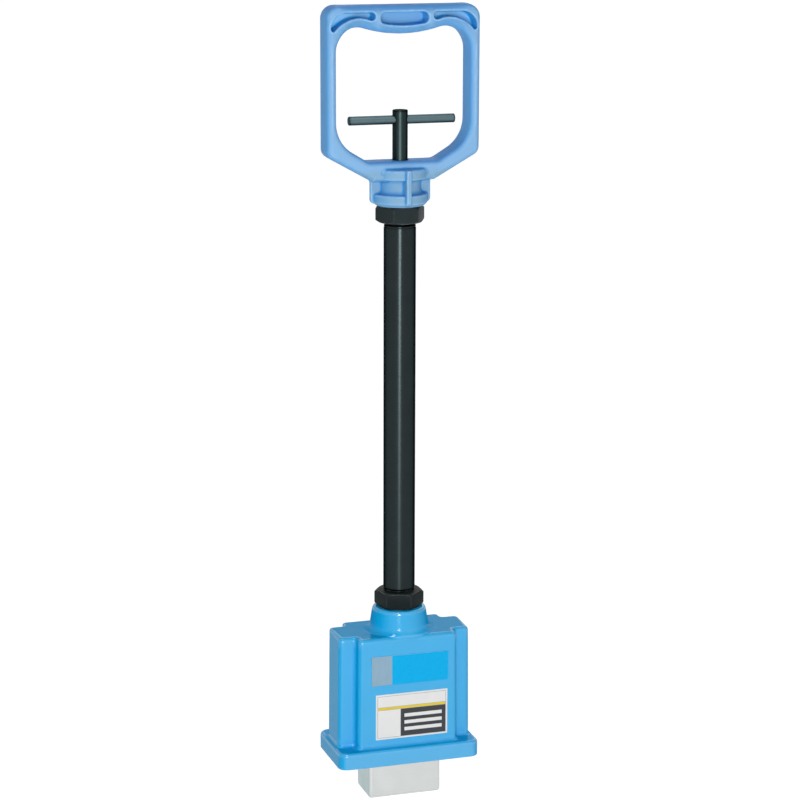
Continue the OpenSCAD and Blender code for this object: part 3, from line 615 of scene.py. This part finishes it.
def housing_field(x, y, z):
    """A drafted block with side lobes on a flange, a boss on its roof, and hollow from below."""
    draft = DRAFT * ramp(z, Z_FLANGE_TOP, Z_ROOF)
    middle = rect(x, y, BODY_W / 2 - draft, BODY_D / 2, HOUSING_CORNER)
    lobes = rect(x, y, LOBES_W / 2 - draft, LOBES_D / 2, HOUSING_CORNER)
    roof_edge = 1.7 + 2.3 * ramp(y, 10, -20)
    body = meet(join(middle, lobes, HOUSING_FILLET), z - Z_ROOF, roof_edge)
    flange_edge, foot_edge, flange_sink = 2.6, 0.4, 4
    flange = meet(rect(x, y, FLANGE_W / 2, FLANGE_D / 2, FLANGE_CORNER), z - Z_FLANGE_TOP, flange_edge)
    flange = meet(flange, Z_FLANGE - z, foot_edge)
    body = join(np.maximum(body, Z_FLANGE + flange_sink - z), flange, HOUSING_FILLET)
    boss_edge, boss_sink, cone_scale = 2.6, 6, 0.99
    rho = np.hypot(x, y)
    cone = (rho - BOSS_R + BOSS_TAPER * (z - Z_ROOF - BOSS_START) / BOSS_RISE) * cone_scale
    boss = meet(np.maximum(cone, Z_ROOF - boss_sink - z), z - Z_BOSS, boss_edge)
    boss_fillet = 0.3 + 5.0 * ramp(z, Z_ROOF - 3, Z_ROOF)
    body = join(body, boss, boss_fillet)
    middle_in = rect(x, y, BODY_W / 2 - WALL, BODY_D / 2 - WALL, CAVITY_CORNER)
    lobes_in = rect(x, y, LOBES_W / 2 - WALL, LOBES_D / 2 - WALL, CAVITY_CORNER)
    cavity = np.maximum(np.minimum(middle_in, lobes_in), z - Z_ROOF_IN)
    rim = SHEATH_RIM + FIT
    for half_w, half_d, corner, top in (
            (SHEATH_W / 2 + rim, SHEATH_D / 2 + rim, SHEATH_CORNER, Z_LEDGE),
            (PLATE_W / 2 + FIT, PLATE_D / 2 + FIT, PLATE_CORNER, Z_PLATE_TOP)):
        cavity = np.minimum(cavity, np.maximum(rect(x, y, half_w, half_d, corner), z - top))
    return np.maximum(np.maximum(body, -cavity), THREAD_R + CLOSE_FIT - rho)


points, faces, normals, bend = net(
    housing_field,
    both((0, 40, 1.35), (40, 63, 0.7)),
    both((0, 12, 1.35), (12, 35, 0.7)),
    stations((32.5, 51, 0.7), (51, 130, 2.2), (130, 165.7, 0.7)))
piece("housing_shell", points, faces, "frame", [PAINT], ["housing"], normals,
      {"edge": bend, "front": np.abs(normals[:, 1]), "up": normals[:, 2]})


# Handle

# The opening's top corner, and the arc of the belly that touches it
INNER_R = 19.0
CREST = (OPEN_HALF_W - INNER_R, Z_CREST - INNER_R)
BELLY_R = (CREST[0] ** 2 + (INNER_R - Z_CREST + Z_BELLY) ** 2 - INNER_R ** 2) / (2 * (Z_CREST - Z_BELLY))
BELLY = (0.0, Z_BELLY + BELLY_R)
BELLY_TURN = math.degrees(math.atan2(CREST[0], BELLY[1] - CREST[1]))

# The pockets' top, half the middle one's width, and the wall between the pockets and the opening
Z_POCKET, MID_HALF, POCKET_WALL = Z_TOP - 5.8, 0.54 * CREST[0], 7.2


def handle_outline():
    """The D's outside, whose arms lean in to the collar's ribs."""
    lean, foot_z, bend_z = 29, Z_UPPER_FLANGE - 1.2, Z_FLOOR + 5.1
    foot_x = HALF_W - (bend_z - foot_z) / math.tan(math.radians(lean))
    return rounded(mirrored([(foot_x, foot_z, 1), (HALF_W, bend_z, 8), (HALF_W, Z_TOP, 11)]))


def handle_opening():
    floor_half, lean, side_r = 29.4, 31, 28
    side_z = Z_FLOOR + (OPEN_HALF_W - floor_half) * math.tan(math.radians(lean))
    corners = [(0, Z_FLOOR, 0), (floor_half, Z_FLOOR, INNER_R / 2), (OPEN_HALF_W, side_z, side_r)]
    low = rounded(corners + [(OPEN_HALF_W, Z_TOP, 0)])[1:-1]
    crest = arc(CREST, INNER_R, 0, 90 + BELLY_TURN, 20)
    belly = arc(BELLY, BELLY_R, 270 + BELLY_TURN, 270, 16)
    right = low + crest + belly[1:]
    return right + [(-x, z) for x, z in right[-2::-1]]


def mid_pocket():
    end_r, low_r = 4.0, BELLY_R - POCKET_WALL
    end_x, end_z = MID_HALF - end_r, Z_POCKET - end_r
    lean = math.asin(end_x / (low_r - end_r))
    z_low, lean = BELLY[1] - (low_r - end_r) * math.cos(lean), math.degrees(lean)
    return (arc((end_x, end_z), end_r, 0, 90, 8) + arc((-end_x, end_z), end_r, 90, 180, 8)
            + arc((-end_x, z_low), end_r, 180, 270 - lean, 8)
            + arc(BELLY, low_r, 270 - lean, 270 + lean, 16)[1:-1]
            + arc((end_x, z_low), end_r, 270 + lean, 360, 8))


def side_pocket():
    """The right pocket, which follows the opening's corner and thins to a rounded tip."""
    gap, side_wall, end_r, tip_r, wall_r = 4.3, 3.4, 3.2, 1.85, INNER_R + POCKET_WALL + 0.8
    end = (MID_HALF + gap + end_r, Z_POCKET - end_r)
    end_lean = math.degrees(math.atan2(end[0], BELLY[1] - end[1]))
    low_r, apart = math.dist(BELLY, end) + end_r, BELLY_R + INNER_R
    meeting = math.acos((low_r ** 2 + apart ** 2 - wall_r ** 2) / (2 * low_r * apart))
    tip_turn = math.acos((HALF_W - side_wall - tip_r - CREST[0]) / (wall_r + tip_r))
    tip_x = CREST[0] + (wall_r + tip_r) * math.cos(tip_turn)
    tip_z = CREST[1] + (wall_r + tip_r) * math.sin(tip_turn)
    tip_turn, out_r = math.degrees(tip_turn), Z_POCKET - tip_z
    low = arc(BELLY, low_r, 270 + end_lean, 270 + BELLY_TURN + math.degrees(meeting), 8)
    start = math.degrees(math.atan2(low[-1][1] - CREST[1], low[-1][0] - CREST[0]))
    return (arc(end, end_r, 90, 270 + end_lean, 12) + low[1:-2]
            + arc(CREST, wall_r, start - 4, tip_turn, 12)
            + arc((tip_x, tip_z), tip_r, 180 + tip_turn, 360, 10)
            + arc((tip_x + tip_r - out_r, tip_z), out_r, 0, 90, 14))


def collar_outline():
    foot_r, rim_r, waist_r, z_waist = 19.75, 22.5, 16.5, Z_HANDLE + 9.7
    z_rim = Z_HANDLE + (rim_r - foot_r)
    right = [(foot_r, Z_HANDLE, 0.8), (rim_r, z_rim, 1.5), (rim_r, z_waist, 1.9), (waist_r, z_waist, 3.9),
             (waist_r, Z_UPPER_FLANGE, 3.9), (rim_r, Z_UPPER_FLANGE, 1.9), (rim_r, Z_COLLAR_TOP, 2.4)]
    return rounded(mirrored(right), 8)


outer, opening = Outline(handle_outline()), Outline(handle_opening())
middle_pocket, outer_pocket = Outline(mid_pocket(), 0.2), Outline(side_pocket(), 0.2)
collar = Outline(collar_outline(), 0.2)


def handle_field(x, y, z):
    """A D of rounded bars, crowned along the grip, with pockets in front and a ribbed collar below."""
    ax, ay, rho = np.abs(x), np.abs(y), np.hypot(x, y)
    grip = ramp(z, 622, 638) * ramp(ax, 56, 36)
    grip = grip * grip * (3 - 2 * grip)
    crown, bar_edge = 0.9 + 2.9 * grip, 3.9 + 2.1 * grip
    plan = np.maximum(outer(ax, z), -opening(ax, z)) + crown * (y / HALF_T) ** 2
    bar = meet(plan, ay - HALF_T, bar_edge)
    floor_edge, mouth_edge = 1.0, 1.3
    pockets = np.minimum(middle_pocket(ax, z), outer_pocket(ax, z))
    bar = drill(bar, meet(pockets, y + HALF_T - POCKET_DEPTH, floor_edge), mouth_edge)
    collar_fillet, rib_end, rib_edge, rib_fillet = 1.6, 3.4, 1.4, 1.2
    body = join(bar, collar(rho, z), collar_fillet)
    ribs = meet(np.maximum(ax, ay) - RIB_REACH, Z_HANDLE + RIB_FOOT - z, rib_end)
    ribs = meet(np.maximum(ribs, z - Z_COLLAR_TOP), np.minimum(ax, ay) - RIB_HALF_T, rib_edge)
    body = join(body, ribs, rib_fillet)
    body = np.maximum(body, -np.maximum(rho - THREAD_R - CLOSE_FIT, z - Z_TUBE_TOP - TUBE_END_GAP))
    z_in_opening, hole_edge = 600, 0.7
    return drill(body, np.maximum(rho - ROD_R - ROD_GAP, z - z_in_opening), hole_edge)


points, faces, normals, bend = net(
    handle_field,
    both((0, 66, 0.7)),
    both((0, 13.6, 0.7), (13.6, 26.2, 0.85)),
    stations((500.7, 543, 0.7), (543, 632, 1.2), (632, 665.2, 0.6)))
ax, y, z = np.abs(points[:, 0]), points[:, 1], points[:, 2]
pocket_reach, y_behind, gap_middle, gap_spread = 0.6, 4, MID_HALF + 2.2, 3
# The pocket layer marks the pocket floors that are painted paler.
pocket = np.maximum(0.4 * (middle_pocket(ax, z) < pocket_reach), outer_pocket(ax, z) < pocket_reach)
pocket = pocket * ramp(y, 2 - HALF_T, 10 - HALF_T) * (y < y_behind)
# The grip layer marks the band painted darker as shade, clear of the gaps beside the middle pocket.
grip = ramp(z, 628, 642) * ramp(ax, 66, 46)
grip *= 1 - np.exp(-((ax - gap_middle) / gap_spread) ** 2)
# The lip layer marks a painted shadow under each pocket's top lip.
piece("handle_grip", points, faces, "frame", [PLASTIC], ["handle"], normals,
      {"edge": bend, "front": np.abs(normals[:, 1]), "up": normals[:, 2], "grip": grip,
       "pocket": pocket, "painted_lip_shadow": pocket * ramp(z, Z_POCKET - 2.1, Z_POCKET - 1.2)})


# Tube, nuts, rod and T-bar

THREAD_PITCH, THREAD_DEPTH, THREAD_SHOWN = 1.5, 0.6, 3.6


def tube_profile():
    """Chamfered ends, threads beside rounded shoulders, and a groove below the upper one."""
    chamfer, step, edge, undercut = 0.6, 0.17, 1.2, THREAD_R - 0.2
    neck_low = [(THREAD_R, z) for z in np.arange(Z_LOW_SHOULDER - 3.4, Z_LOW_SHOULDER, step)]
    neck_top = [(THREAD_R, z) for z in np.arange(Z_TOP_SHOULDER + step, Z_TOP_SHOULDER + 3.5, step)]
    low = arc((TUBE_R - edge, Z_LOW_SHOULDER + edge), edge, 270, 360, 6)
    top = [(TUBE_R - cut, Z_TOP_SHOULDER - drop) for cut, drop in ((0, 2.5), (0.4, 2.2), (0.4, 1.6))]
    top += arc((TUBE_R - edge - 0.1, Z_TOP_SHOULDER - edge), edge, 0, 90, 8)
    foot = [(TUBE_BORE_R, Z_TUBE_END), (THREAD_R - chamfer, Z_TUBE_END), (THREAD_R, Z_TUBE_END + chamfer)]
    head = [(THREAD_R, Z_TUBE_TOP - chamfer), (THREAD_R - chamfer, Z_TUBE_TOP), (TUBE_BORE_R, Z_TUBE_TOP)]
    return (foot + neck_low + [(undercut, Z_LOW_SHOULDER)] + low
            + top + [(undercut, Z_TOP_SHOULDER)] + neck_top + head)


def tube_shape(r, z, turn):
    """Radius round the tube at a height, with a triangular thread where it shows."""
    if r != THREAD_R or min(abs(z - Z_LOW_SHOULDER), abs(z - Z_TOP_SHOULDER)) >= THREAD_SHOWN:
        return np.full(len(turn), float(r))
    ridge = 1 - np.abs(2 * ((z / THREAD_PITCH - turn / (2 * math.pi)) % 1) - 1)
    return r - THREAD_DEPTH * ridge


points, faces = lathe(tube_profile(), 96, tube_shape)
sharpen(piece("tube", points, faces, "frame", [BLACK_TUBE], ["outer_tube"]), 40)


def nut(name, z, degrees, node):
    """A hexagon nut with rounded edges, chamfered faces and a threaded mouth."""
    sides, soft, blend = 240, 0.35, 14
    half = NUT_AF / 2
    limit = half / math.cos(math.pi / 6) - 0.06
    face_r, steep = 0.97 * half, math.tan(math.radians(36))
    turn = np.arange(sides) * 2 * math.pi / sides
    local = (turn - math.radians(degrees)) % (math.pi / 3) - math.pi / 6
    side_r = limit - np.log1p(np.exp((limit - half / np.cos(local)) * blend)) / blend
    drop = (side_r - face_r) * steep
    mouth = ((THREAD_R + CLOSE_FIT, 1.2), (THREAD_R + 1.0, 0.0), (face_r - 0.25, 0.0), (face_r, 0.08))
    low = [(np.full(sides, r), h) for r, h in mouth]
    low += [(side_r - soft, drop - soft * steep), (side_r - 0.08, drop), (side_r, drop + soft)]
    rows = low + [(r, NUT_T - h) for r, h in low[::-1]]
    points = [np.stack([r * np.cos(turn), r * np.sin(turn), z + np.zeros(sides) + h], 1) for r, h in rows]
    # The edge layer marks a painted highlight with wear: the chamfer arc at each flat's middle and the
    # corners.
    corner = 0.25 * np.exp(-((limit - side_r) / 0.3) ** 2)
    rim = np.exp(-(local / 0.3) ** 2)
    wear_and_highlight = [0 * rim] * 3 + [0 * rim + 0.3, 1.4 * rim + 0.3, np.maximum(corner, 1.6 * rim), corner]
    faces = strip(len(points), sides, True)
    obj = piece(name, np.concatenate(points), faces, "frame", [BLACK_NUT], [node],
                layers={"edge": np.concatenate(wear_and_highlight + wear_and_highlight[::-1])})
    sharpen(obj, 28)


nut("lower_nut", Z_BOSS, -17.9, "lower_lock_nut")
nut("upper_nut", Z_UPPER_NUT, -2.1, "upper_lock_nut")


def rod_field(x, y, z):
    """A rod with a stepped foot, a groove for the ring, and holes for the T-bar and its screw."""
    top_edge, hole_edge, groove_drop, groove_half = 0.8, 0.3, 2.6, 0.65
    rho = np.hypot(x, y)
    shaft = meet(rho - ROD_R, z - Z_ROD_TOP, top_edge)
    shaft = np.maximum(shaft, np.minimum(rho - ROD_R + ROD_STEP, Z_ROD_NECK - z))
    shaft = np.maximum(shaft, Z_ROD_END - z)
    groove = np.maximum(np.abs(z - Z_SPRING_LOW + groove_drop) - groove_half, ROD_R - ROD_STEP - rho)
    shaft = np.maximum(shaft, -groove)
    shaft = drill(shaft, np.hypot(y, z - Z_T_BAR) - T_BAR_R - CLOSE_FIT, hole_edge)
    return drill(shaft, np.maximum(rho - SET_SCREW_R - CLOSE_FIT, Z_T_BAR - z), hole_edge)


points, faces, normals, _ = round_net(
    rod_field, 6.8, 0.34, 0.12, (67.8, 82, 0.8), (82, 373, 6), (373, 380, 0.35), (380, 560, 6),
    (560, 567.2, 0.8), (567.2, 580.7, 0.28))
# The rim layer marks the rod's top end for painted shade.
piece("rod", points, faces, "lifter", [ROD_STEEL], ["pull_rod"], normals,
      {"rim": np.clip(points[:, 2] - Z_ROD_TOP + 2.0, 0, 0.8)})

# The T-bar is turned about Z, and then laid along X
END_EDGE, RIM_W, POLE_R = 0.7, 1.6, 0.01
half_bar = [(T_BAR_R, 0.0), (T_BAR_R, T_BAR_HALF - RIM_W), (T_BAR_R, T_BAR_HALF - 1.0)]
half_bar += arc((T_BAR_R - END_EDGE, T_BAR_HALF - END_EDGE), END_EDGE, 0, 90, 5) + [(POLE_R, T_BAR_HALF)]
points, faces = lathe([(r, -z) for r, z in half_bar[:0:-1]] + half_bar, 48)
along = np.abs(points[:, 2])
# The rim layer marks the bar's end rims for painted shade.
rim = np.clip(along - T_BAR_HALF + RIM_W, 0, 0.85) * (along < T_BAR_HALF - 0.05)
points = np.stack([points[:, 2] + T_BAR_X, -points[:, 1], points[:, 0] + Z_T_BAR], 1)
piece("cross_bar", points, faces, "lifter", [BAR_STEEL], ["t_bar"], layers={"rim": rim})


def set_screw_field(x, y, z):
    edge, socket, socket_edge = 0.3, 1.43, 0.15
    body = meet(np.hypot(x, y) - SET_SCREW_R, np.maximum(z - Z_SET_TOP, Z_SET_SCREW - z), edge)
    return drill(body, np.maximum(hexagon(x, y, socket), Z_SET_SOCKET - z), socket_edge)


points, faces, normals, _ = round_net(set_screw_field, 3.3, 0.2, 0.08, (574.5, 579.6, 0.2))
piece("cross_bar_screw", points, faces, "lifter", [BLACK_NUT], ["t_bar_set_screw"], normals)


# Sheath, bottom plate and its screws

def sheath_rings():
    """Rings up the outside from the foot, round the rim and down the inside."""
    a, b, r, w = SHEATH_W / 2, SHEATH_D / 2, SHEATH_CORNER, SHEATH_WALL
    foot, least_r, bend, inner, inner_r = 3.0, 0.4, 1.2, 0.8, 1.0
    z_bend = Z_PLATE_TOP - bend
    rings = [plan_ring(a - foot - d, b - foot - d, max(r - foot, least_r), 0) for d in (9, 4, 0.6)]
    for t in np.radians(np.linspace(0, 90, 8)):
        inset = foot * (1 - math.sin(t))
        rings.append(plan_ring(a - inset, b - inset, max(r - inset, least_r), foot * (1 - math.cos(t))))
    rings += [plan_ring(a, b, r, z) for z in (6, 14, 22, 30, z_bend)]
    for t in np.radians(np.linspace(0, 90, 5)[1:]):
        out = bend * (1 - math.cos(t))
        rings.append(plan_ring(a + out, b + out, r + out, z_bend + bend * math.sin(t)))
    rings += [plan_ring(a + SHEATH_RIM, b + SHEATH_RIM, r, z) for z in (Z_PLATE_TOP, Z_PLATE_TOP + w)]
    rings += [plan_ring(a - w, b - w, inner_r, z) for z in (Z_PLATE_TOP + w, 22, w + inner, w)]
    rings += [plan_ring(a - w - 9, b - w - 9, 0.6, w)]
    return rings


points, faces = loft(sheath_rings())
middles = [points[list(f)].mean(0) for f in faces]
# The sheath's end faces take the painted-shade copy of the stainless.
ends = [abs(m[0]) > SHEATH_W / 2 - 0.5 and m[2] < Z_FLANGE for m in middles]
sharpen(piece("sheath_cup", points, faces, "frame", [STAINLESS, STAINLESS_SHADED_END], ["sheath"],
              indices=ends), 50)


def base_plate_field(x, y, z):
    edge, window_edge, sink_edge = 0.5, 0.4, 0.15
    up = z - Z_FLANGE
    plan = rect(x, y, PLATE_W / 2, PLATE_D / 2, PLATE_CORNER)
    body = meet(plan, np.maximum(up - (Z_PLATE_TOP - Z_FLANGE), -up), edge)
    body = drill(body, rect(x, y, SHEATH_W / 2 + FIT, SHEATH_D / 2 + FIT, SHEATH_CORNER), window_edge)
    reach = np.hypot(np.abs(x) - SCREW_X, np.abs(y) - SCREW_Y) - CLOSE_FIT
    sink = np.minimum(reach - SCREW_R, (reach - SCREW_HEAD_R + up) * COS_45)
    return drill(body, sink, sink_edge)


points, faces, normals, _ = net(
    base_plate_field, both((0, 29, 2.0), (29, 34, 0.5), (34, 42, 1.6), (42, 57, 0.45)),
    both((0, 13, 1.6), (13, 28.5, 0.45)), stations((33.4, 38.6, 0.4)), 0.1)
piece("base_plate", points, faces, "frame", [ZINC], ["bottom_plate"], normals)


def screw_field(x, y, z):
    """A countersunk screw, its head at the origin and its shank up along Z."""
    head_t, length, trim_r, socket, socket_edge = 2.5, 11, 4.85, 1.52, 0.15
    rho = np.hypot(x, y)
    head = np.maximum((rho - SCREW_HEAD_R + z) * COS_45, z - head_t)
    shank = np.maximum(rho - SCREW_R, z - length)
    body = np.maximum(np.maximum(np.minimum(head, shank), -z), rho - trim_r)
    return drill(body, np.maximum(hexagon(x, y, socket), z - head_t), socket_edge)


one, quads, leans, _ = round_net(screw_field, 5.3, 0.22, 0.08, (-0.4, 3, 0.22), (3, 11.4, 0.6))
points, faces, normals = [], [], []
for i, (sx, sy) in enumerate(itertools.product((-1, 1), repeat=2)):
    spin = np.array(Matrix.Rotation(0.4 + 0.9 * i, 3, "Z"))
    points.append(one @ spin.T + [sx * SCREW_X, sy * SCREW_Y, Z_FLANGE])
    normals.append(leans @ spin.T)
    faces.append(quads + i * len(one))
piece("base_plate_screws", np.concatenate(points), np.concatenate(faces), "frame", [ZINC],
      ["bottom_plate_screws"], np.concatenate(normals))


# Spring

def spring_rings(sides=12, steps=32):
    """Rings of a wire coiled with one close turn at each end, and ground flat there."""
    turns = np.linspace(0, SPRING_TURNS, SPRING_TURNS * steps + 1)
    close = 2 * WIRE_R + 0.6
    main = (Z_SPRING_TOP - Z_SPRING_LOW - 2 * WIRE_R - 2 * close) / (SPRING_TURNS - 2)
    rise = np.where(turns < 1, close * turns, np.where(
        turns < SPRING_TURNS - 1, close + main * (turns - 1),
        2 * close + main * (SPRING_TURNS - 2) - close * (SPRING_TURNS - turns)))
    angle = 2 * math.pi * turns
    out = np.stack([np.cos(angle), np.sin(angle), 0 * angle], 1)
    line = out * SPRING_R + np.stack([0 * angle, 0 * angle, Z_SPRING_LOW + WIRE_R + rise], 1)
    along = np.gradient(line, axis=0)
    up = np.cross(out, along / np.linalg.norm(along, axis=1)[:, None])
    round_wire = 2 * math.pi * np.arange(sides) / sides
    rings = np.stack([line + WIRE_R * (math.cos(s) * out + math.sin(s) * up) for s in round_wire], 1)
    rings[:, :, 2] = np.clip(rings[:, :, 2], Z_SPRING_LOW, Z_SPRING_TOP)
    return rings


points, faces = loft(spring_rings())
spring = piece("spring_coil", points, faces, "frame", [SPRING], ["return_spring"])
sharpen(spring, 50)
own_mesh(spring)


# Plates on the front

def sheet_piece(name, node, materials, xs, zs, chosen):
    """A thin sheet on the housing's front, its face cut into cells that each take a material."""
    low, high = (np.array(v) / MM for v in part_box(node))
    y_front, y_back, ease = low[1], high[1], 0.12
    xs = [low[0] + ease] + [low[0] + v for v in xs] + [high[0] - ease]
    zs = [low[2] + ease] + [low[2] + v for v in zs] + [high[2] - ease]
    nx, nz = len(xs), len(zs)
    points = [(x, y_front, z) for z in zs for x in xs]
    faces, indices = [], []
    for k in range(nz - 1):
        for i in range(nx - 1):
            a = k * nx + i
            faces.append((a, a + 1, a + nx + 1, a + nx))
            indices.append(chosen(i, k))
    rim = ([(i, 0) for i in range(nx)] + [(nx - 1, k) for k in range(1, nz)]
           + [(i, nz - 1) for i in range(nx - 2, -1, -1)] + [(0, k) for k in range(nz - 2, 0, -1)])
    start, n = len(points), len(rim)
    for y in (y_front + ease, y_back):
        for i, k in rim:
            x = xs[i] + ease * ((i == nx - 1) - (i == 0))
            z = zs[k] + ease * ((k == nz - 1) - (k == 0))
            points.append((x, y, z))
    border = [k * nx + i for i, k in rim]
    for j in range(n):
        a, b = border[j], border[(j + 1) % n]
        c, d = start + j, start + (j + 1) % n
        faces += [(a, c, d, b), (c, c + n, d + n, d)]
        indices += [0, 0]
    faces.append(tuple(start + n + j for j in range(n)))
    indices.append(0)
    sharpen(piece(name, points, faces, "frame", materials, [node], indices=indices), 30)


# A blank plate: a bright end, a bright line and an enamelled field
sheet_piece("plate_front", "name_plate", [PLATE_SILVER, PLATE_BLUE],
            [17.2, 17.8], [], lambda i, k: 1 if i == 2 else 0)

# A blank record sticker: frame line, header strip, ruled cell and a dark cell with write-on strips
WHITE, GREY, DARK, YELLOW = range(4)
label_x = [1.4, 1.75, 21.5, 21.85, 25.0, 58.0, 61.25, 61.6]
label_z = [1.4, 1.75, 6.2, 9.2, 12.2, 15.2, 18.2, 21.2, 25.6, 25.95, 28.0, 28.35, 37.65, 38.0]


def label_cell(i, k):
    """Material of a cell, by its column from the left and its row from below."""
    if i in (0, 8) or k in (0, 14):
        return WHITE
    if i in (1, 7) or k in (1, 9, 11, 13):
        return GREY
    if k == 10:
        return YELLOW
    if k == 12 or i == 2:
        return WHITE
    if i == 3:
        return GREY
    return WHITE if i == 5 and k in (3, 5, 7) else DARK


sheet_piece("label_front", "front_label", [LABEL_WHITE, LABEL_GREY, LABEL_DARK, LABEL_YELLOW],
            label_x, label_z, label_cell)


# CAD nodes that stay as they are

for node, material in {
    "sheath_gasket": RUBBER, "upper_guide_bush": BRONZE, "lower_guide_bush": BRONZE, "spring_seat": ZINC,
    "retaining_ring": SPRING, "rod_jam_nut": ZINC, "lock_washer": ZINC, "magnet_carrier": BRASS,
    "carrier_screws": BLACK_NUT, "pole_plate_left": POLE, "pole_plate_centre": POLE, "pole_plate_right": POLE,
    "magnet_left": MAGNET, "magnet_right": MAGNET,
}.items():
    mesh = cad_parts[node].data
    mesh.materials.clear()
    mesh.materials.append(material)


# Stage, light and camera

def seen_rays(tree):
    """1 for rays that show the background, straight or in metal and glass, and 0 for others."""
    path = tree.nodes.new("ShaderNodeLightPath")
    seen = path.outputs["Is Camera Ray"]
    for kind in ("Is Glossy Ray", "Is Transmission Ray"):
        either = tree.nodes.new("ShaderNodeMath")
        either.operation = "MAXIMUM"
        tree.links.new(seen, either.inputs[0])
        tree.links.new(path.outputs[kind], either.inputs[1])
        seen = either.outputs[0]
    return seen


def floor_material():
    """A plain floor for the light, which looks white and still shows the object's shadow."""
    material = bpy.data.materials.new("floor")
    material.use_nodes = True
    tree = material.node_tree
    tree.nodes.clear()
    new = tree.nodes.new
    plain, shown, glow = new("ShaderNodeBsdfDiffuse"), new("ShaderNodeBsdfDiffuse"), new("ShaderNodeEmission")
    plain.inputs["Color"].default_value = (0.8, 0.8, 0.8, 1)
    shown.inputs["Color"].default_value = (0.5, 0.5, 0.5, 1)
    glow.inputs["Strength"].default_value = 0.8
    bright, choose = new("ShaderNodeAddShader"), new("ShaderNodeMixShader")
    out = new("ShaderNodeOutputMaterial")
    tree.links.new(shown.outputs[0], bright.inputs[0])
    tree.links.new(glow.outputs[0], bright.inputs[1])
    tree.links.new(seen_rays(tree), choose.inputs[0])
    tree.links.new(plain.outputs[0], choose.inputs[1])
    tree.links.new(bright.outputs[0], choose.inputs[2])
    tree.links.new(choose.outputs[0], out.inputs["Surface"])
    return material


FLOOR_HALF = 30
mesh = bpy.data.meshes.new("floor")
mesh.from_pydata([(sx * FLOOR_HALF, sy * FLOOR_HALF, 0) for sx, sy in ((-1, -1), (1, -1), (1, 1), (-1, 1))],
                 [], [(0, 1, 2, 3)])
mesh.materials.append(floor_material())
floor = bpy.data.objects.new("floor", mesh)
scene.collection.objects.link(floor)

# The world is white where it is seen, and a dimmer light on the object
world = bpy.data.worlds.new("studio")
scene.world = world
world.use_nodes = True
sky, link = world.node_tree.nodes["Background"], world.node_tree.links.new
sky.inputs["Color"].default_value = (1, 1, 1, 1)
level = world.node_tree.nodes.new("ShaderNodeMapRange")
level.inputs["To Min"].default_value = 0.34
level.inputs["To Max"].default_value = 1.0
link(seen_rays(world.node_tree), level.inputs["Value"])
link(level.outputs["Result"], sky.inputs["Strength"])


def lamp(name, kind, azimuth, elevation, energy):
    """A lamp turned to the object, and its direction: azimuth 0 is the front and 90 the right, in degrees."""
    data = bpy.data.lights.new(name, kind)
    data.energy = energy
    obj = bpy.data.objects.new(name, data)
    a, e = math.radians(azimuth), math.radians(elevation)
    source = Vector((math.sin(a) * math.cos(e), -math.cos(a) * math.cos(e), math.sin(e)))
    obj.rotation_euler = (-source).to_track_quat("-Z", "Y").to_euler()
    scene.collection.objects.link(obj)
    return obj, source


def sun(name, azimuth, elevation, strength, angle):
    """Light from far away, softened over this angle in degrees."""
    obj, _ = lamp(name, "SUN", azimuth, elevation, strength)
    obj.data.angle = math.radians(angle)
    return obj


def softbox(name, azimuth, elevation, distance, wide, tall, power):
    """A panel of light facing the middle of the object, upright when its elevation is near 0."""
    obj, source = lamp(name, "AREA", azimuth, elevation, power)
    obj.data.shape, obj.data.size, obj.data.size_y = "RECTANGLE", wide, tall
    obj.location = source * distance + Vector((0, 0, 0.36))
    obj.visible_camera = False
    return obj


softbox("key", -17, 2.4, 2.4, 0.5, 0.86, 37)
softbox("top", -30, 66, 1.8, 0.45, 0.45, 2.2)
softbox("glint", -30, 66, 1.8, 0.45, 0.45, 26).visible_diffuse = False
sun("fill", 150, 40, 0.42, 50)
sun("back", 166, 8, 0.9, 30).visible_glossy = False

eye, aim, roll = Vector((-0.6176, -1.9179, 0.79)), Vector((0, 0, 0.3398)), math.radians(0.14)
forward = (aim - eye).normalized()
right = forward.cross(Vector((0, 0, 1))).normalized()
up = right.cross(forward)
right, up = right * math.cos(roll) + up * math.sin(roll), up * math.cos(roll) - right * math.sin(roll)
camera = bpy.data.objects.new("camera", bpy.data.cameras.new("camera"))
camera.matrix_world = Matrix((right, up, -forward)).transposed().to_4x4()
camera.location = eye
camera.data.sensor_width, camera.data.lens, camera.data.shift_x = 36, 112.52, 0.00075
camera.data.clip_end = 100
scene.collection.objects.link(camera)
scene.camera = camera
scene.view_settings.view_transform = "Standard"
